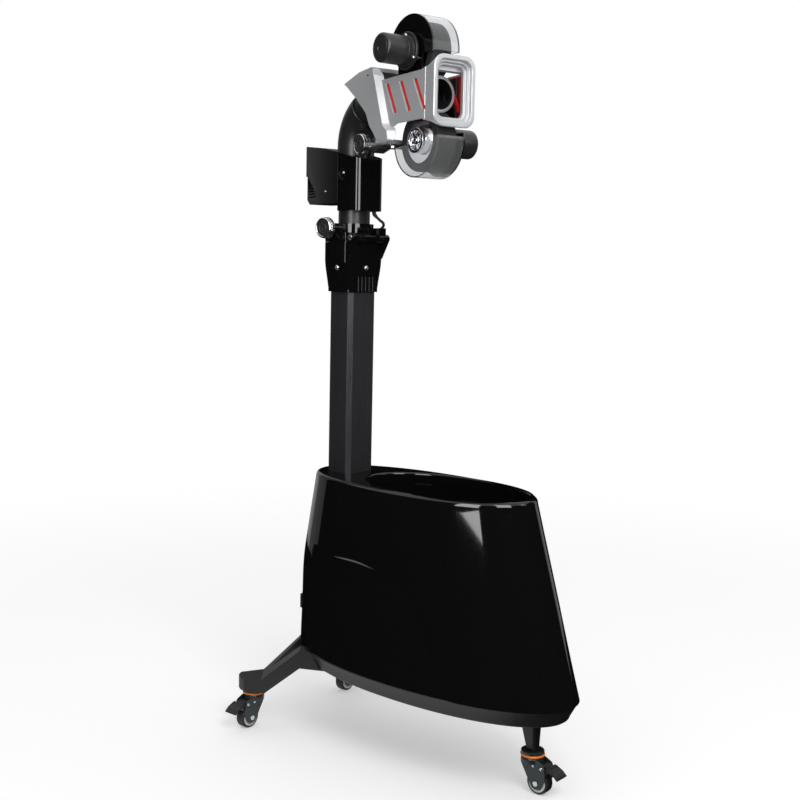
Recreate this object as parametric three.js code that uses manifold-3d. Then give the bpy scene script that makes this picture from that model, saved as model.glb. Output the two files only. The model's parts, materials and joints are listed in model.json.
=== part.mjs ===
// Floor-standing table tennis robot: a ball hopper on three casters, a column
// that lifts the balls, a folding mast, and a throwing head with two motor
// wheels. Millimetres, +Z up. The machine throws toward -Y, and its right
// side, as it faces, is -X.

import * as THREE from 'three';
import { mergeVertices } from 'three/addons/utils/BufferGeometryUtils.js';
import Module from 'manifold-3d';

const wasm = await Module();
wasm.setup();

// Driving dimensions

const degree = Math.PI / 180;
const ballDiameter = 40;
const ballBore = ballDiameter + 4;   // every tube that a ball runs through
const gap = 0.3;                     // between pieces that touch
const runningGap = 0.5;              // between pieces that turn
const overrun = 5;                   // how far a cutter passes a face
const bite = 1;                      // how far joined solids run into each other
const facets = { tiny: 6, small: 8, medium: 10, large: 12, tyre: 16, round: 18, wheel: 20 };

// Column: an extruded section with eight flats round the ball bore
const column = {
  halfWidth: 31, halfDepth: 24, frontChamferX: 6.5, frontChamferY: 6.5,
  rearChamferX: 5, rearChamferY: 17, bottom: 262.3, top: 792,
};

// Hopper shell: oval levels from the rim of the chassis up to the bin's rim. Each
// level is a share of the shell's height, half width, half length and centre. The
// shell's rear end keeps its place behind the column, whatever the shell's length.
const shell = { bottom: 142, top: 430, halfWidth: 112, halfLength: 259.5, rear: 82.5 };
const shellCentre = shell.rear - shell.halfLength;
const shellFront = shellCentre - shell.halfLength;
const levelShares = [
  [0, 1, 1, 1], [0.236, 0.973, 0.956, 0.949], [0.49, 0.9375, 0.911, 0.8955],
  [0.698, 0.893, 0.859, 0.873], [0.969, 0.829, 0.79, 0.8475],
];
const shellLevels = levelShares.map(([height, width, length, centre]) => ({
  z: shell.bottom + height * (shell.top - shell.bottom), halfWidth: width * shell.halfWidth,
  halfLength: length * shell.halfLength, centre: centre * shellCentre,
}));
const topLevel = shellLevels[shellLevels.length - 1];
const shellWall = 3;
const shellShoulder = 7;             // inset of the rounded top edge
const shoulderSteps = 2;
const shellEdge = 6;                 // width of the shell's foot on the chassis
const ovalPower = 2.12;              // a little fuller than an ellipse
const ovalSides = 28;

// Bin: its mouth runs from a deck before the column to a rim at the shell's front
const bin = { halfWidth: 82, deck: 31, rim: 12, lip: 18, lipWall: 2.5 };
const binRear = -column.halfDepth - bin.deck;
const binFront = topLevel.centre - topLevel.halfLength + bin.rim;
const binHalfLength = (binRear - binFront) / 2;
const binCentre = (binRear + binFront) / 2;

// Arched panel low on each side. Its curve runs from its rear end to its foot, in
// shares of the foot's distance forward and of the arch's height over the shell's foot.
const arch = { depth: 4, top: 308, rear: 2, foot: 282, steps: 2 };
const archShares = [
  [0.213, 1.012], [0.404, 1.012], [0.621, 0.952], [0.738, 0.837], [0.823, 0.651], [0.887, 0.41], [1, 0],
];

// Chassis pan under the shell, set in from the shell's foot
const chassisInset = { rim: 2, footSide: 12, footEnd: 14.5, footShift: 1 };
const chassis = {
  bottom: 115, top: shell.bottom - gap, wall: 4, floor: 4,
  footHalfWidth: shell.halfWidth - chassisInset.footSide,
  footHalfLength: shell.halfLength - chassisInset.footEnd,
  footCentre: shellCentre - chassisInset.footShift,
  rimHalfWidth: shell.halfWidth - chassisInset.rim,
  rimHalfLength: shell.halfLength - chassisInset.rim,
  rimCentre: shellCentre,
};

// Pickup: a notched disc in a round well feeds the balls into the column
const pickup = {
  centre: -130, wellRadius: 78.6, wellWall: 2.4, floor: 190, floorThickness: 3, wellTop: 238,
  discThickness: 12, discLift: 10, discClearance: 2.2, pockets: 5, pocketRadius: 21.5, pocketCircle: 56,
  hubRadius: 16, shaftRadius: 4, boreDepth: 10,
};
const pickupMotor = { bottom: 125, radius: 22, bevel: 2, flange: 4, flangeRadius: 30, shaftTop: 209.5 };
const tub = {
  topInset: 2, midHalfWidth: 86, midInset: 14, midShift: 15, midZ: 320, portDepth: 6, portEnd: -48.9,
};
const tubTop = shell.top - bin.lip - gap;
const feed = { bendRadius: 42, outerRadius: 24.5, centreZ: 212, sides: 14, steps: 4 };
const columnFoot = {
  halfWidth: 40, halfDepth: 33, top: 300, roomHalfWidth: 28, roomRear: 26.5, roomBottom: 176, roomTop: 256,
  reliefBottom: 128, reliefTop: 168,
};

// Power supply on the chassis floor, and the inlet module in the shell's rear end
const powerSupply = { halfWidth: 47.5, setback: 113, length: 60, top: 157 };
const supplyFront = chassis.footCentre - chassis.footHalfLength + powerSupply.setback;
const moduleFit = { proud: 2.5, depth: 25 };
const powerModule = {
  halfWidth: 26, halfHeight: 12, z: 200, inner: shell.rear + moduleFit.proud - moduleFit.depth,
  outer: shell.rear + moduleFit.proud, socketLeft: -21, socketRight: 3,
  socketHalfHeight: 7.5, socketDepth: 14, pinPitch: 7, pinHalfWidth: 1, pinHalfHeight: 2.5, pinShort: 4,
  rockerX: 15, rockerHalfWidth: 6, rockerHalfHeight: 8.5, rockerDepth: 9, rockerBase: 6.5, rockerFoot: 5,
  rockerRise: 2, rockerDip: 1,
};

// Casters: size of one, with the trail toward +X, and where the three stand
const caster = {
  wheelRadius: 18, wheelWidth: 16, treadDepth: 4, treadRound: 2, rimWidth: 2.5, hubRadius: 6, dish: 2.5,
  trail: 14, cheek: 2, cheekGap: 19, axleRadius: 3, boltHead: 1.8, boltHeadRadius: 4.5,
  crownBottom: 45, crownTop: 54.7, crownRadius: 17, ringBottom: 55, ringTop: 58.4, ringRadius: 18.2,
  plateBottom: 58.7, plateTop: 63, plateRadius: 17.2,
  pinRadius: 4.5, pinHeadRadius: 6.5, pinBottom: 41.5,
  leverPivotU: 22.5, leverPivotZ: 42.3, leverPinRadius: 2, leverBoss: 4.6, leverWidth: 24, armHalf: 8.8,
};

// Caster outlines of (toward the trail, z), in shares of the wheel's radius
const cheekShares = [
  [-0.722, 2.944], [0.833, 2.944], [1.556, 2.611], [1.639, 1.444], [1.222, 0.556], [0.444, 0.5],
  [0.083, 1.111], [-0.722, 2.5],
];
const armShares = [
  [1.25, 2.606], [1.778, 2.478], [1.778, 2.139], [1.678, 1.756], [1.475, 1.872], [1.361, 2.111],
];
const paddleShares = [
  [1.694, 2.5], [1.861, 2.522], [2.5, 2.233], [2.889, 1.878], [2.811, 1.733], [2.422, 2.078], [1.694, 2.311],
];
const stanceFit = { inFront: 65.5, behind: 29.5 };   // in from the shell's front, and behind its rear
const stance = {
  front: -shellFront - stanceFit.inFront, rear: shell.rear + stanceFit.behind, halfTrack: 105,
};
const casterPlaces = [
  { name: 'front', x: 0, y: -stance.front, turn: -90 },
  { name: 'rear_right', x: -stance.halfTrack, y: stance.rear, turn: 180 },
  { name: 'rear_left', x: stance.halfTrack, y: stance.rear, turn: 0 },
];

// Legs. Reaches run along a rear leg's axis from its caster toward the chassis.
const leg = {
  bottom: 63.3, tipTop: 85, tipReach: 20, flatReach: -14, rootReach: 78, rootTop: chassis.top - gap,
  rootBottom: 112, bossReach: 20, endReach: 140, halfSpan: 90,
};
const rearLegAngle = 40.94 * degree;   // of a rear leg's axis from the robot's middle plane

// Plan of a rear leg, in shares of half the track and of the rear casters' distance
const legShares = [
  [1.048, 1.223], [1.152, 1.17], [1.21, 1.08], [1.229, 0.982], [0.648, -0.17], [0.124, 0.795],
];
const legWindowShares = [[0.79, 0.839], [0.21, 0.679], [0.457, 0.25], [0.59, 0.179]];
const frontLeg = { bottomWidth: 16, bottomDepth: 16, topWidth: 22, topDepth: 30, topShift: 6, chamfer: 3 };

// Clamp casting on the column's top, and the fold hinge on its front edge
const clamp = {
  bottom: 719, straightTop: 725, flareTop: 772, top: 797,
  bottomGrow: 3.5, topGrow: 12, frontGrow: 3, rearGrow: 3.5,
  screwZ: 757, screwX: 38, screwHead: 3.5, screwRadius: 4,
};
const hinge = {
  y: -32, z: 804, radius: 6.5, pinRadius: 3, knuckleHalf: 29.4, earInner: 29.8, earOuter: 43,
  headLength: 2, headRadius: 4.5,
};

// Side outline of a hinge ear's web, in shares of the hinge's reach and the clamp's height
const earShares = [[0.719, 0.679], [0.719, 0.91], [0.844, 1], [0.875, 1.09], [1, 1.09], [1.194, 1.058]];
const flange = {
  thickness: 14.6, collarRadius: 31, collarTop: 826, bossRadius: 8, bossReach: 51, earGap: 0.5, webRise: 0.5,
  slotX: 17, slotHalf: 3, slotDepth: 3,
  leadHoleX: 22, leadHoleY: -24.5, leadHoleRadius: 3.2, leadHoleDepth: 6,
};

// Mast: the round tube above the fold, turned to one side in its flange
const mastTurn = -14 * degree;
const mast = { outerRadius: 25, bottom: 800, top: 941 };

// Knobs: the same moulding locks the mast's turn and the head's tilt
const knob = {
  radius: 16.5, capRadius: 14.5, thickness: 14, capDepth: 2, backBevel: 2.5, backRadius: 11, shaftRadius: 4,
};
const mastKnob = { z: 818, face: 72 };
const tiltKnob = { face: 36, capWall: 3 };
const tiltBolt = { headRadius: 7, headLength: 3 };

// Control housing: a rear box and a front cover round the mast
const box = {
  halfWidth: 30, rearHalfWidth: 18, rear: -118, taperStart: -52, split: -4,
  bottom: 858, notchZ: 904, notchDepth: 6, chamferZ: 866, chamferDepth: 11,
  topRear: 953, topTaper: 946, topSplit: 937, wall: 3,
};
const vent = {
  count: 5, bottom: 869, pitch: 4.6, height: 2, inner: 15, outer: 40, rearY: 104, longest: 32, shorter: 4,
};
const cover = {
  front: 44, cornerLength: 12, cornerWidth: 9, bottom: 846, topFront: 926,
  dimpleRadius: 9, dimpleDepth: 1.4, dimpleForward: 9, dimpleZ: 903,
};

// Elbow and head inlet: arcs about the tilt axis, one sliding in the other
const tilt = { forward: 63, z: 944 };
const throwZ = tilt.z + tilt.forward;   // height of the ball's path through the head
const elbow = {
  outerRadius: 28, innerRadius: 25.4, endAngle: 62, bottom: 925, steps: 5, lugBite: 1.8,
  gripX: 11, gripHalf: 3.5, gripReach: 32, gripBottom: 931, gripTop: 943,
};
const inlet = { outerRadius: 24.6, startAngle: 28, steps: 5 };
const tiltLug = { halfWidth: 8, radius: 11, lowAngle: 8, midAngle: 30, highAngle: 54 };
// Throwing wheels, and below their guards and motors. Distances across are taken
// from the middle plane, and the motor stands on the given side.
const wheel = {
  radius: 44.5, width: 34, tyreDepth: 12, tyreBevel: 3, hubInset: 2, hubRing: 18.5, ringInner: 14,
  hubReach: 25.6,
  bossFace: 24, bossRadius: 6.5, dishFace: 19, shaftStop: 9,
};
const upperWheel = { forward: 175, z: 1068.5, side: -1 };
const lowerWheel = { forward: 192, z: 942.5, side: 1 };

// Bracket under the head: it ends, like the head's band, just short of the lower tyre
const tyreRoom = 9.5;
const tiltBracket = {
  cheekInner: 8.6, cheek: 2.2, radius: 11, plateTop: 940.7, plateThickness: 2.2, halfWidth: 30,
  reach: lowerWheel.forward - wheel.radius - tyreRoom,
  plateRear: 81, cheekFront: 100, cheekTopForward: 80, cheekRise: 6,
  boltX: 20, boltInset: 9, boltRadius: 4.5, boltHead: 3.5,
};

// Head housing, in the mast's turned frame
const head = {
  wingOuter: 44, wingWall: 4, panelOuter: 36, panelInner: 33, mouthHalfWidth: 37,
  mouthFront: 250, mouthTop: 1058, mouthBottom: 958, mouthCorner: 15, cornerShare: 0.6, cornerSteps: 2,
  bandBottom: 941, bandTop: 947, bandLength: 19,
  roomBottom: 972, roomTop: 1037, roomCorner: 3, roomRear: 215, roomFront: 234.5,
};

// Places on the head, in shares: forward of the mouth's distance from the mast, and
// up or down from the ball's path of the mouth's height
const headPoint = ([forward, rise]) => [
  forward * head.mouthFront, throwZ + rise * (head.mouthTop - head.mouthBottom)];
const wingShares = [
  [0.132, 0.29], [0.292, 0.42], [0.428, 0.46], [0.442, 0.346], [0.544, -0.41], [0.588, -0.493],
  [0.604, -0.634], [0.564, -0.657], [0.48, -0.59], [0.404, -0.384], [0.368, -0.2], [0.268, 0.026],
];
const wingStepped = [3, 4, 5];       // the wing's points that step in to the side panel
const wingRoomShares = [
  [0.112, 0.53], [0.416, 0.53], [0.428, 0.29], [0.524, -0.41], [0.564, -0.52], [0.576, -0.598],
  [0.496, -0.77], [0.24, -0.17], [0.08, 0.23],
];
const hoodShares = [
  [0.132, 0.29], [0.292, 0.42], [0.428, 0.46], [0.436, 0.396], [0.428, 0.426], [0.292, 0.388], [0.137, 0.261],
];
const panelShares = [
  [0.448, 0.29], [0.476, 0.26], [0.876, 0.31], [0.912, 0.34], [0.912, -0.39], [0.904, -0.37],
  [0.64, -0.395], [0.592, -0.45], [0.552, -0.45],
];
const insertShares = [
  [0.496, 0.23], [0.876, 0.275], [0.926, 0.275], [0.926, -0.32], [0.64, -0.35], [0.58, -0.35],
];
const linerShares = [[0.488, 0.22], [0.876, 0.25], [0.876, -0.32], [0.64, -0.35], [0.584, -0.35]];
const eyeletShares = [[0.366, 0.334], [0.392, 0.344], [0.392, 0.364], [0.366, 0.354]];

// Flare of the mouth: forward, half width, bottom, top and corner radius, the last
// a share of the mouth's own
const flareShares = [
  [0.888, 0.962, -0.39, 0.32, 0.133], [0.944, 0.978, -0.42, 0.385, 0.333],
  [0.976, 1, -0.475, 0.47, 0.8], [1, 1, -0.49, 0.51, 1],
];

// Steps of the lips: half width and depth reached, in shares of the mouth's half
// width and distance
const lipShares = [[0.811, 0.98], [0.703, 0.964], [0.608, 0.92]];

// Slots in the side panels: forward at the top and the bottom end, in shares
const slotShares = [[0.54, 0.626], [0.676, 0.764], [0.812, 0.906]];
const slot = { halfWidth: 4, topZ: 1027, bottomZ: 982.5 };
const insert = { backInner: 31.2, backOuter: 32.7, face: 35 };
const liner = {
  inner: 27, outer: 30.9, bossEnd: 24.5, bossRadius: 4, padEnd: 24.3, padHalf: 9,
};
const padShares = [0.512, 0.704];
const upperBossShares = [[0.608, 0.175], [0.792, 0.18]];
const lowerBossShares = [[0.672, -0.22], [0.848, -0.22]];
const outlet = {
  outerRadius: 24, boreRadius: 21.6, end: 217, rim: 26, rimLength: 3,
  windowHalfWidth: 18.6, windowClearance: 2,
  peepRadius: 7, peepForward: 204,
};

const guard = {
  outerRadius: 53, wall: 2, disc: 2.2, halfWidth: 24.5, plateInner: 22, plateOuter: 24.2, hubHole: 19.6,
  tongueHalf: 29, upperLimit: 1064, upperTongue: 1019, lowerLimit: 953, lowerTongue: 992, shaftHole: 7,
  upperCutZ: 1066, lowerCutAngle: -7.7 * degree, lowerCutForward: 140.5, lowerCutZ: 932.8,
};
const motor = {
  radius: 21, end: 77, capRadius: 17.5, bevel: 3.5, flangeRadius: 27, flangeOuter: 33, flangeInner: 29,
  standoffs: 3, standoffRadius: 2.6, standoffCircle: 22.5, shaftRadius: 4, shaftEnd: -8.5,
};

// Short lead from the front cover down into the flange
const lead = {
  radius: 2.2, ferruleRadius: 3.2, ferruleSteps: 2, steps: 11, sides: 7,
  route: [[7, -36, 845.4], [7.4, -36.3, 841], [14, -41, 833], [21, -43, 828], [25.5, -39, 822.5],
    [25.5, -32, 818], [23, -26.5, 815], [22, -24.6, 811]],
};

// Geometry helpers

function toManifold(geometry) {
  const plain = geometry.clone();
  for (const key of Object.keys(plain.attributes)) if (key !== 'position') plain.deleteAttribute(key);
  const merged = mergeVertices(plain, 1e-4);
  const source = merged.index.array;
  const kept = [];
  for (let i = 0; i < source.length; i += 3) {
    const [a, b, c] = [source[i], source[i + 1], source[i + 2]];
    if (a !== b && b !== c && a !== c) kept.push(a, b, c);
  }
  return new wasm.Manifold(new wasm.Mesh({
    numProp: 3,
    vertProperties: new Float32Array(merged.attributes.position.array),
    triVerts: new Uint32Array(kept),
  }));
}

function toGeometry(manifold) {
  const mesh = manifold.getMesh();
  const geometry = new THREE.BufferGeometry();
  const positions = new Float32Array(mesh.numVert * 3);
  for (let v = 0; v < mesh.numVert; v += 1) {
    for (let k = 0; k < 3; k += 1) positions[v * 3 + k] = mesh.vertProperties[v * mesh.numProp + k];
  }
  geometry.setAttribute('position', new THREE.BufferAttribute(positions, 3));
  geometry.setIndex(new THREE.BufferAttribute(new Uint32Array(mesh.triVerts), 1));
  return geometry;
}

function cut(body, ...tools) {
  let result = toManifold(body);
  for (const tool of tools) result = result.subtract(toManifold(tool));
  return toGeometry(result);
}

function join(...bodies) {
  let result = toManifold(bodies[0]);
  for (const body of bodies.slice(1)) result = result.add(toManifold(body));
  return toGeometry(result);
}

function common(body, tool) {
  return toGeometry(toManifold(body).intersect(toManifold(tool)));
}

function block(x0, x1, y0, y1, z0, z1) {
  return new THREE.BoxGeometry(x1 - x0, y1 - y0, z1 - z0)
    .translate((x0 + x1) / 2, (y0 + y1) / 2, (z0 + z1) / 2);
}

// A rod along one axis, from one end to the other, centred on the other two coordinates
function rod(axis, from, to, radius, centre, sides = facets.medium) {
  const shape = new THREE.CylinderGeometry(radius, radius, to - from, sides);
  const middle = (from + to) / 2;
  if (axis === 'x') return shape.rotateZ(Math.PI / 2).translate(middle, centre[0], centre[1]);
  if (axis === 'y') return shape.translate(centre[0], middle, centre[1]);
  return shape.rotateX(Math.PI / 2).translate(centre[0], centre[1], middle);
}

// A turned piece: profile points are (radius, position along the axis)
function turned(axis, profile, centre, sides = facets.large) {
  const shape = new THREE.LatheGeometry(profile.map(([r, h]) => new THREE.Vector2(r, h)), sides);
  if (signedVolume(shape) < 0) flip(shape);
  if (axis === 'x') return shape.rotateZ(-Math.PI / 2).translate(0, centre[0], centre[1]);
  if (axis === 'y') return shape.translate(centre[0], 0, centre[1]);
  return shape.rotateX(Math.PI / 2).translate(centre[0], centre[1], 0);
}

function outline(points) {
  return new THREE.Shape(points.map(([x, y]) => new THREE.Vector2(x, y)));
}

function extruded(shape, depth, curveSegments = 8) {
  return new THREE.ExtrudeGeometry(shape, { depth, bevelEnabled: false, curveSegments });
}

// A plan outline (x, y) raised from one height to another
function planPrism(shape, z0, z1, curveSegments) {
  return extruded(shape, z1 - z0, curveSegments).translate(0, 0, z0);
}

// A side outline (forward, z) given a width from x0 to x1
function sidePrism(shape, x0, x1, curveSegments) {
  const basis = new THREE.Matrix4().makeBasis(
    new THREE.Vector3(0, -1, 0), new THREE.Vector3(0, 0, 1), new THREE.Vector3(-1, 0, 0));
  return extruded(shape, x1 - x0, curveSegments).applyMatrix4(basis).translate(x1, 0, 0);
}

// A front outline (x, z) given a depth between two forward distances
function frontPrism(shape, rear, front, curveSegments) {
  const basis = new THREE.Matrix4().makeBasis(
    new THREE.Vector3(1, 0, 0), new THREE.Vector3(0, 0, 1), new THREE.Vector3(0, -1, 0));
  return extruded(shape, front - rear, curveSegments).applyMatrix4(basis).translate(0, -rear, 0);
}

function roundedRect(halfWidth, bottom, top, radius) {
  const shape = new THREE.Shape();
  shape.absarc(halfWidth - radius, bottom + radius, radius, -Math.PI / 2, 0);
  shape.absarc(halfWidth - radius, top - radius, radius, 0, Math.PI / 2);
  shape.absarc(-halfWidth + radius, top - radius, radius, Math.PI / 2, Math.PI);
  shape.absarc(-halfWidth + radius, bottom + radius, radius, Math.PI, 1.5 * Math.PI);
  return shape;
}

function signedVolume(geometry) {
  const p = geometry.attributes.position;
  const index = geometry.index ? geometry.index.array : [...Array(p.count).keys()];
  const [a, b, c] = [new THREE.Vector3(), new THREE.Vector3(), new THREE.Vector3()];
  let volume = 0;
  for (let i = 0; i < index.length; i += 3) {
    a.fromBufferAttribute(p, index[i]);
    b.fromBufferAttribute(p, index[i + 1]);
    c.fromBufferAttribute(p, index[i + 2]);
    volume += a.dot(b.cross(c)) / 6;
  }
  return volume;
}

function flip(geometry) {
  const index = geometry.index.array;
  for (let i = 0; i < index.length; i += 3) [index[i + 1], index[i + 2]] = [index[i + 2], index[i + 1]];
  return geometry;
}

// Skin over a run of rings with equal counts, capped at both ends
function loft(rings) {
  const count = rings[0].length;
  const positions = rings.flat().flatMap((p) => [p.x, p.y, p.z]);
  const index = [];
  for (let r = 0; r < rings.length - 1; r += 1) {
    for (let k = 0; k < count; k += 1) {
      const [a, b] = [r * count + k, r * count + ((k + 1) % count)];
      index.push(a, b, b + count, a, b + count, a + count);
    }
  }
  const cap = capTriangles(rings[0]);
  const lastRing = (rings.length - 1) * count;
  for (const [a, b, c] of cap) index.push(c, b, a, lastRing + a, lastRing + b, lastRing + c);
  const geometry = new THREE.BufferGeometry();
  geometry.setAttribute('position', new THREE.BufferAttribute(new Float32Array(positions), 3));
  geometry.setIndex(index);
  return signedVolume(geometry) < 0 ? flip(geometry) : geometry;
}

// Triangles that fill a flat ring, wound the same way as the ring
function capTriangles(ring) {
  const normal = new THREE.Vector3();
  ring.forEach((p, k) => normal.add(new THREE.Vector3().crossVectors(p, ring[(k + 1) % ring.length])));
  normal.normalize();
  const across = new THREE.Vector3(1, 0, 0);
  if (Math.abs(normal.x) > Math.SQRT1_2) across.set(0, 1, 0);
  const u = new THREE.Vector3().crossVectors(normal, across).normalize();
  const v = new THREE.Vector3().crossVectors(normal, u);
  const flat = ring.map((p) => new THREE.Vector2(p.dot(u), p.dot(v)));
  return THREE.ShapeUtils.triangulateShape(flat, []);
}

// One level of the hopper's oval
function oval(halfWidth, halfLength, centre, z, power = ovalPower) {
  const ring = [];
  for (let k = 0; k < ovalSides; k += 1) {
    const angle = (2 * Math.PI * k) / ovalSides;
    const [c, s] = [Math.cos(angle), Math.sin(angle)];
    ring.push(new THREE.Vector3(
      halfWidth * Math.sign(c) * Math.abs(c) ** (2 / power),
      centre + halfLength * Math.sign(s) * Math.abs(s) ** (2 / power), z));
  }
  return ring;
}

// The column's outline, grown by a wall at its sides, front and rear
function columnOutline(side, front = side, rear = side) {
  const w = column.halfWidth + side;
  const f = -column.halfDepth - front;
  const r = column.halfDepth + rear;
  return [
    [-w + column.frontChamferX, f], [w - column.frontChamferX, f],
    [w, f + column.frontChamferY], [w, r - column.rearChamferY],
    [w - column.rearChamferX, r], [-w + column.rearChamferX, r],
    [-w, r - column.rearChamferY], [-w, f + column.frontChamferY],
  ];
}

function ringAt(points, z) {
  return points.map(([x, y]) => new THREE.Vector3(x, y, z));
}

// A round bar or bore swept along an arc about the tilt axis: 0 degrees is
// straight below the elbow's foot, and 90 degrees points forward
function tiltArc(radius, fromDegrees, toDegrees, steps, sides = facets.round) {
  const rings = [];
  for (let i = 0; i <= steps; i += 1) {
    const angle = (fromDegrees + ((toDegrees - fromDegrees) * i) / steps) * degree;
    const ring = [];
    for (let k = 0; k < sides; k += 1) {
      const around = (2 * Math.PI * k) / sides;
      const reach = tilt.forward + radius * Math.cos(around);
      ring.push(new THREE.Vector3(
        radius * Math.sin(around),
        -(tilt.forward - reach * Math.cos(angle)),
        tilt.z + reach * Math.sin(angle)));
    }
    rings.push(ring);
  }
  return loft(rings);
}

// Materials and assembly

function finish(color, roughness, metalness = 0) {
  return { color, roughness, metalness };
}

const finishes = {
  gloss: finish(0x0b0b0d, 0.12),
  satin: finish(0x2a2a2d, 0.45),
  moulded: finish(0x1d1d1f, 0.6),
  anodised: finish(0x2d2d31, 0.38, 0.5),
  silver: finish(0x9c9ea3, 0.35, 0.6),
  red: finish(0xe01812, 0.4),
  steel: finish(0xc9ccd1, 0.25, 1),
  chrome: finish(0xd8dade, 0.08, 1),
  clear: { color: 0xd9dde0, roughness: 0.05, metalness: 0, transparent: true, opacity: 0.35 },
  rubber: finish(0x141415, 0.75),
  orange: finish(0xf08a1e, 0.5),
  fork: finish(0x1f2a2c, 0.35, 0.4),
  white: finish(0xe9e9e6, 0.4),
};

const robot = new THREE.Group();
robot.name = 'table_tennis_robot';

// Pieces of the base, the column and the fold flange
function addBase(name, geometry, look) {
  const mesh = new THREE.Mesh(geometry, new THREE.MeshStandardMaterial(look));
  mesh.name = name;
  robot.add(mesh);
}

// Pieces above the fold flange, drawn facing -Y and then turned with the mast
function addMast(name, geometry, look) {
  addBase(name, geometry.rotateZ(mastTurn), look);
}

// Base

function buildChassis() {
  const c = chassis;
  const foot = (inset, z) => oval(c.footHalfWidth - inset, c.footHalfLength - inset, c.footCentre, z);
  const rim = (inset, z) => oval(c.rimHalfWidth - inset, c.rimHalfLength - inset, c.rimCentre, z);
  const tray = loft([foot(0, chassis.bottom), rim(0, chassis.top)]);
  const inside = loft([
    foot(chassis.wall, chassis.bottom + chassis.floor),
    rim(chassis.wall, chassis.top), rim(chassis.wall, chassis.top + overrun)]);
  return cut(tray, inside);
}

// The chassis and shell grown by the gap, to trim a leg against them
function chassisEnvelope() {
  return loft([
    oval(chassis.footHalfWidth + gap, chassis.footHalfLength + gap, chassis.footCentre, chassis.bottom - gap),
    oval(chassis.rimHalfWidth + gap, chassis.rimHalfLength + gap, chassis.rimCentre, chassis.top + gap)]);
}

// Rear leg on the left: a V of two arms that fall from the chassis to a boss
// over the caster. The right leg is its mirror image.
function buildRearLeg(side) {
  const mirrored = (shares) => shares.map(([x, y]) => [side * x * stance.halfTrack, y * stance.rear]);
  const plan = outline(mirrored(legShares));
  plan.holes.push(new THREE.Path(mirrored(legWindowShares).map(([x, y]) => new THREE.Vector2(x, y))));
  const body = planPrism(plan, leg.bottom, leg.rootTop);
  const profile = outline([
    [-leg.tipReach - overrun, leg.bottom], [-leg.tipReach - overrun, leg.tipTop],
    [-leg.flatReach, leg.tipTop], [leg.rootReach, leg.rootTop], [leg.endReach, leg.rootTop],
    [leg.endReach, leg.rootBottom], [leg.rootReach, leg.rootBottom], [leg.bossReach, leg.bottom]]);
  const slab = sidePrism(profile, -leg.halfSpan, leg.halfSpan);
  slab.rotateZ(-side * rearLegAngle).translate(side * stance.halfTrack, stance.rear, 0);
  return cut(common(body, slab), chassisEnvelope());
}

function buildFrontLeg() {
  const place = casterPlaces[0];
  const ring = (halfWidth, halfDepth, y, z) => ringAt([
    [-halfWidth + frontLeg.chamfer, y - halfDepth], [halfWidth - frontLeg.chamfer, y - halfDepth],
    [halfWidth, y - halfDepth + frontLeg.chamfer], [halfWidth, y + halfDepth - frontLeg.chamfer],
    [halfWidth - frontLeg.chamfer, y + halfDepth], [-halfWidth + frontLeg.chamfer, y + halfDepth],
    [-halfWidth, y + halfDepth - frontLeg.chamfer], [-halfWidth, y - halfDepth + frontLeg.chamfer]], z);
  return loft([
    ring(frontLeg.bottomWidth / 2, frontLeg.bottomDepth / 2, place.y, leg.bottom),
    ring(frontLeg.topWidth / 2, frontLeg.topDepth / 2, place.y + frontLeg.topShift, chassis.bottom - gap)]);
}

// The hopper's outer skin, moved in by an inset
function shellBody(inset, bottomInset = inset, top = shell.top) {
  const rings = [];
  const level = (l, d, z) => oval(l.halfWidth - d, l.halfLength - d, l.centre, z);
  if (inset > 0) rings.push(level(shellLevels[0], bottomInset, shellLevels[0].z - overrun));
  rings.push(level(shellLevels[0], bottomInset, shellLevels[0].z));
  if (inset > 0) rings.push(level(shellLevels[0], inset, shellLevels[0].z + shellEdge));
  shellLevels.slice(1).forEach((l) => rings.push(level(l, inset, l.z)));
  const rise = top - topLevel.z;
  for (let k = 1; k <= shoulderSteps; k += 1) {
    const angle = (Math.PI / 2) * (k / shoulderSteps);
    const inward = inset + shellShoulder * (1 - Math.cos(angle));
    rings.push(level(topLevel, inward, topLevel.z + rise * Math.sin(angle)));
  }
  return loft(rings);
}

// The scooped panel low on each side, under an arched edge
function archTool(side, inset, grow) {
  const shape = new THREE.Shape();
  const height = arch.top - shell.bottom;
  const inner = shell.halfWidth / 2;
  const outer = shell.halfWidth + overrun;
  shape.moveTo(-arch.rear, shell.bottom - overrun);
  shape.lineTo(-arch.rear, arch.top + grow);
  shape.splineThru(archShares.map(([forward, rise]) => new THREE.Vector2(
    forward * arch.foot + grow, shell.bottom + rise * height + grow)));
  shape.lineTo(arch.foot + grow, shell.bottom - overrun);
  const prism = sidePrism(shape, side > 0 ? inner : -outer, side > 0 ? outer : -inner, arch.steps);
  return toManifold(prism).subtract(toManifold(shellBody(inset)));
}

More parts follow.
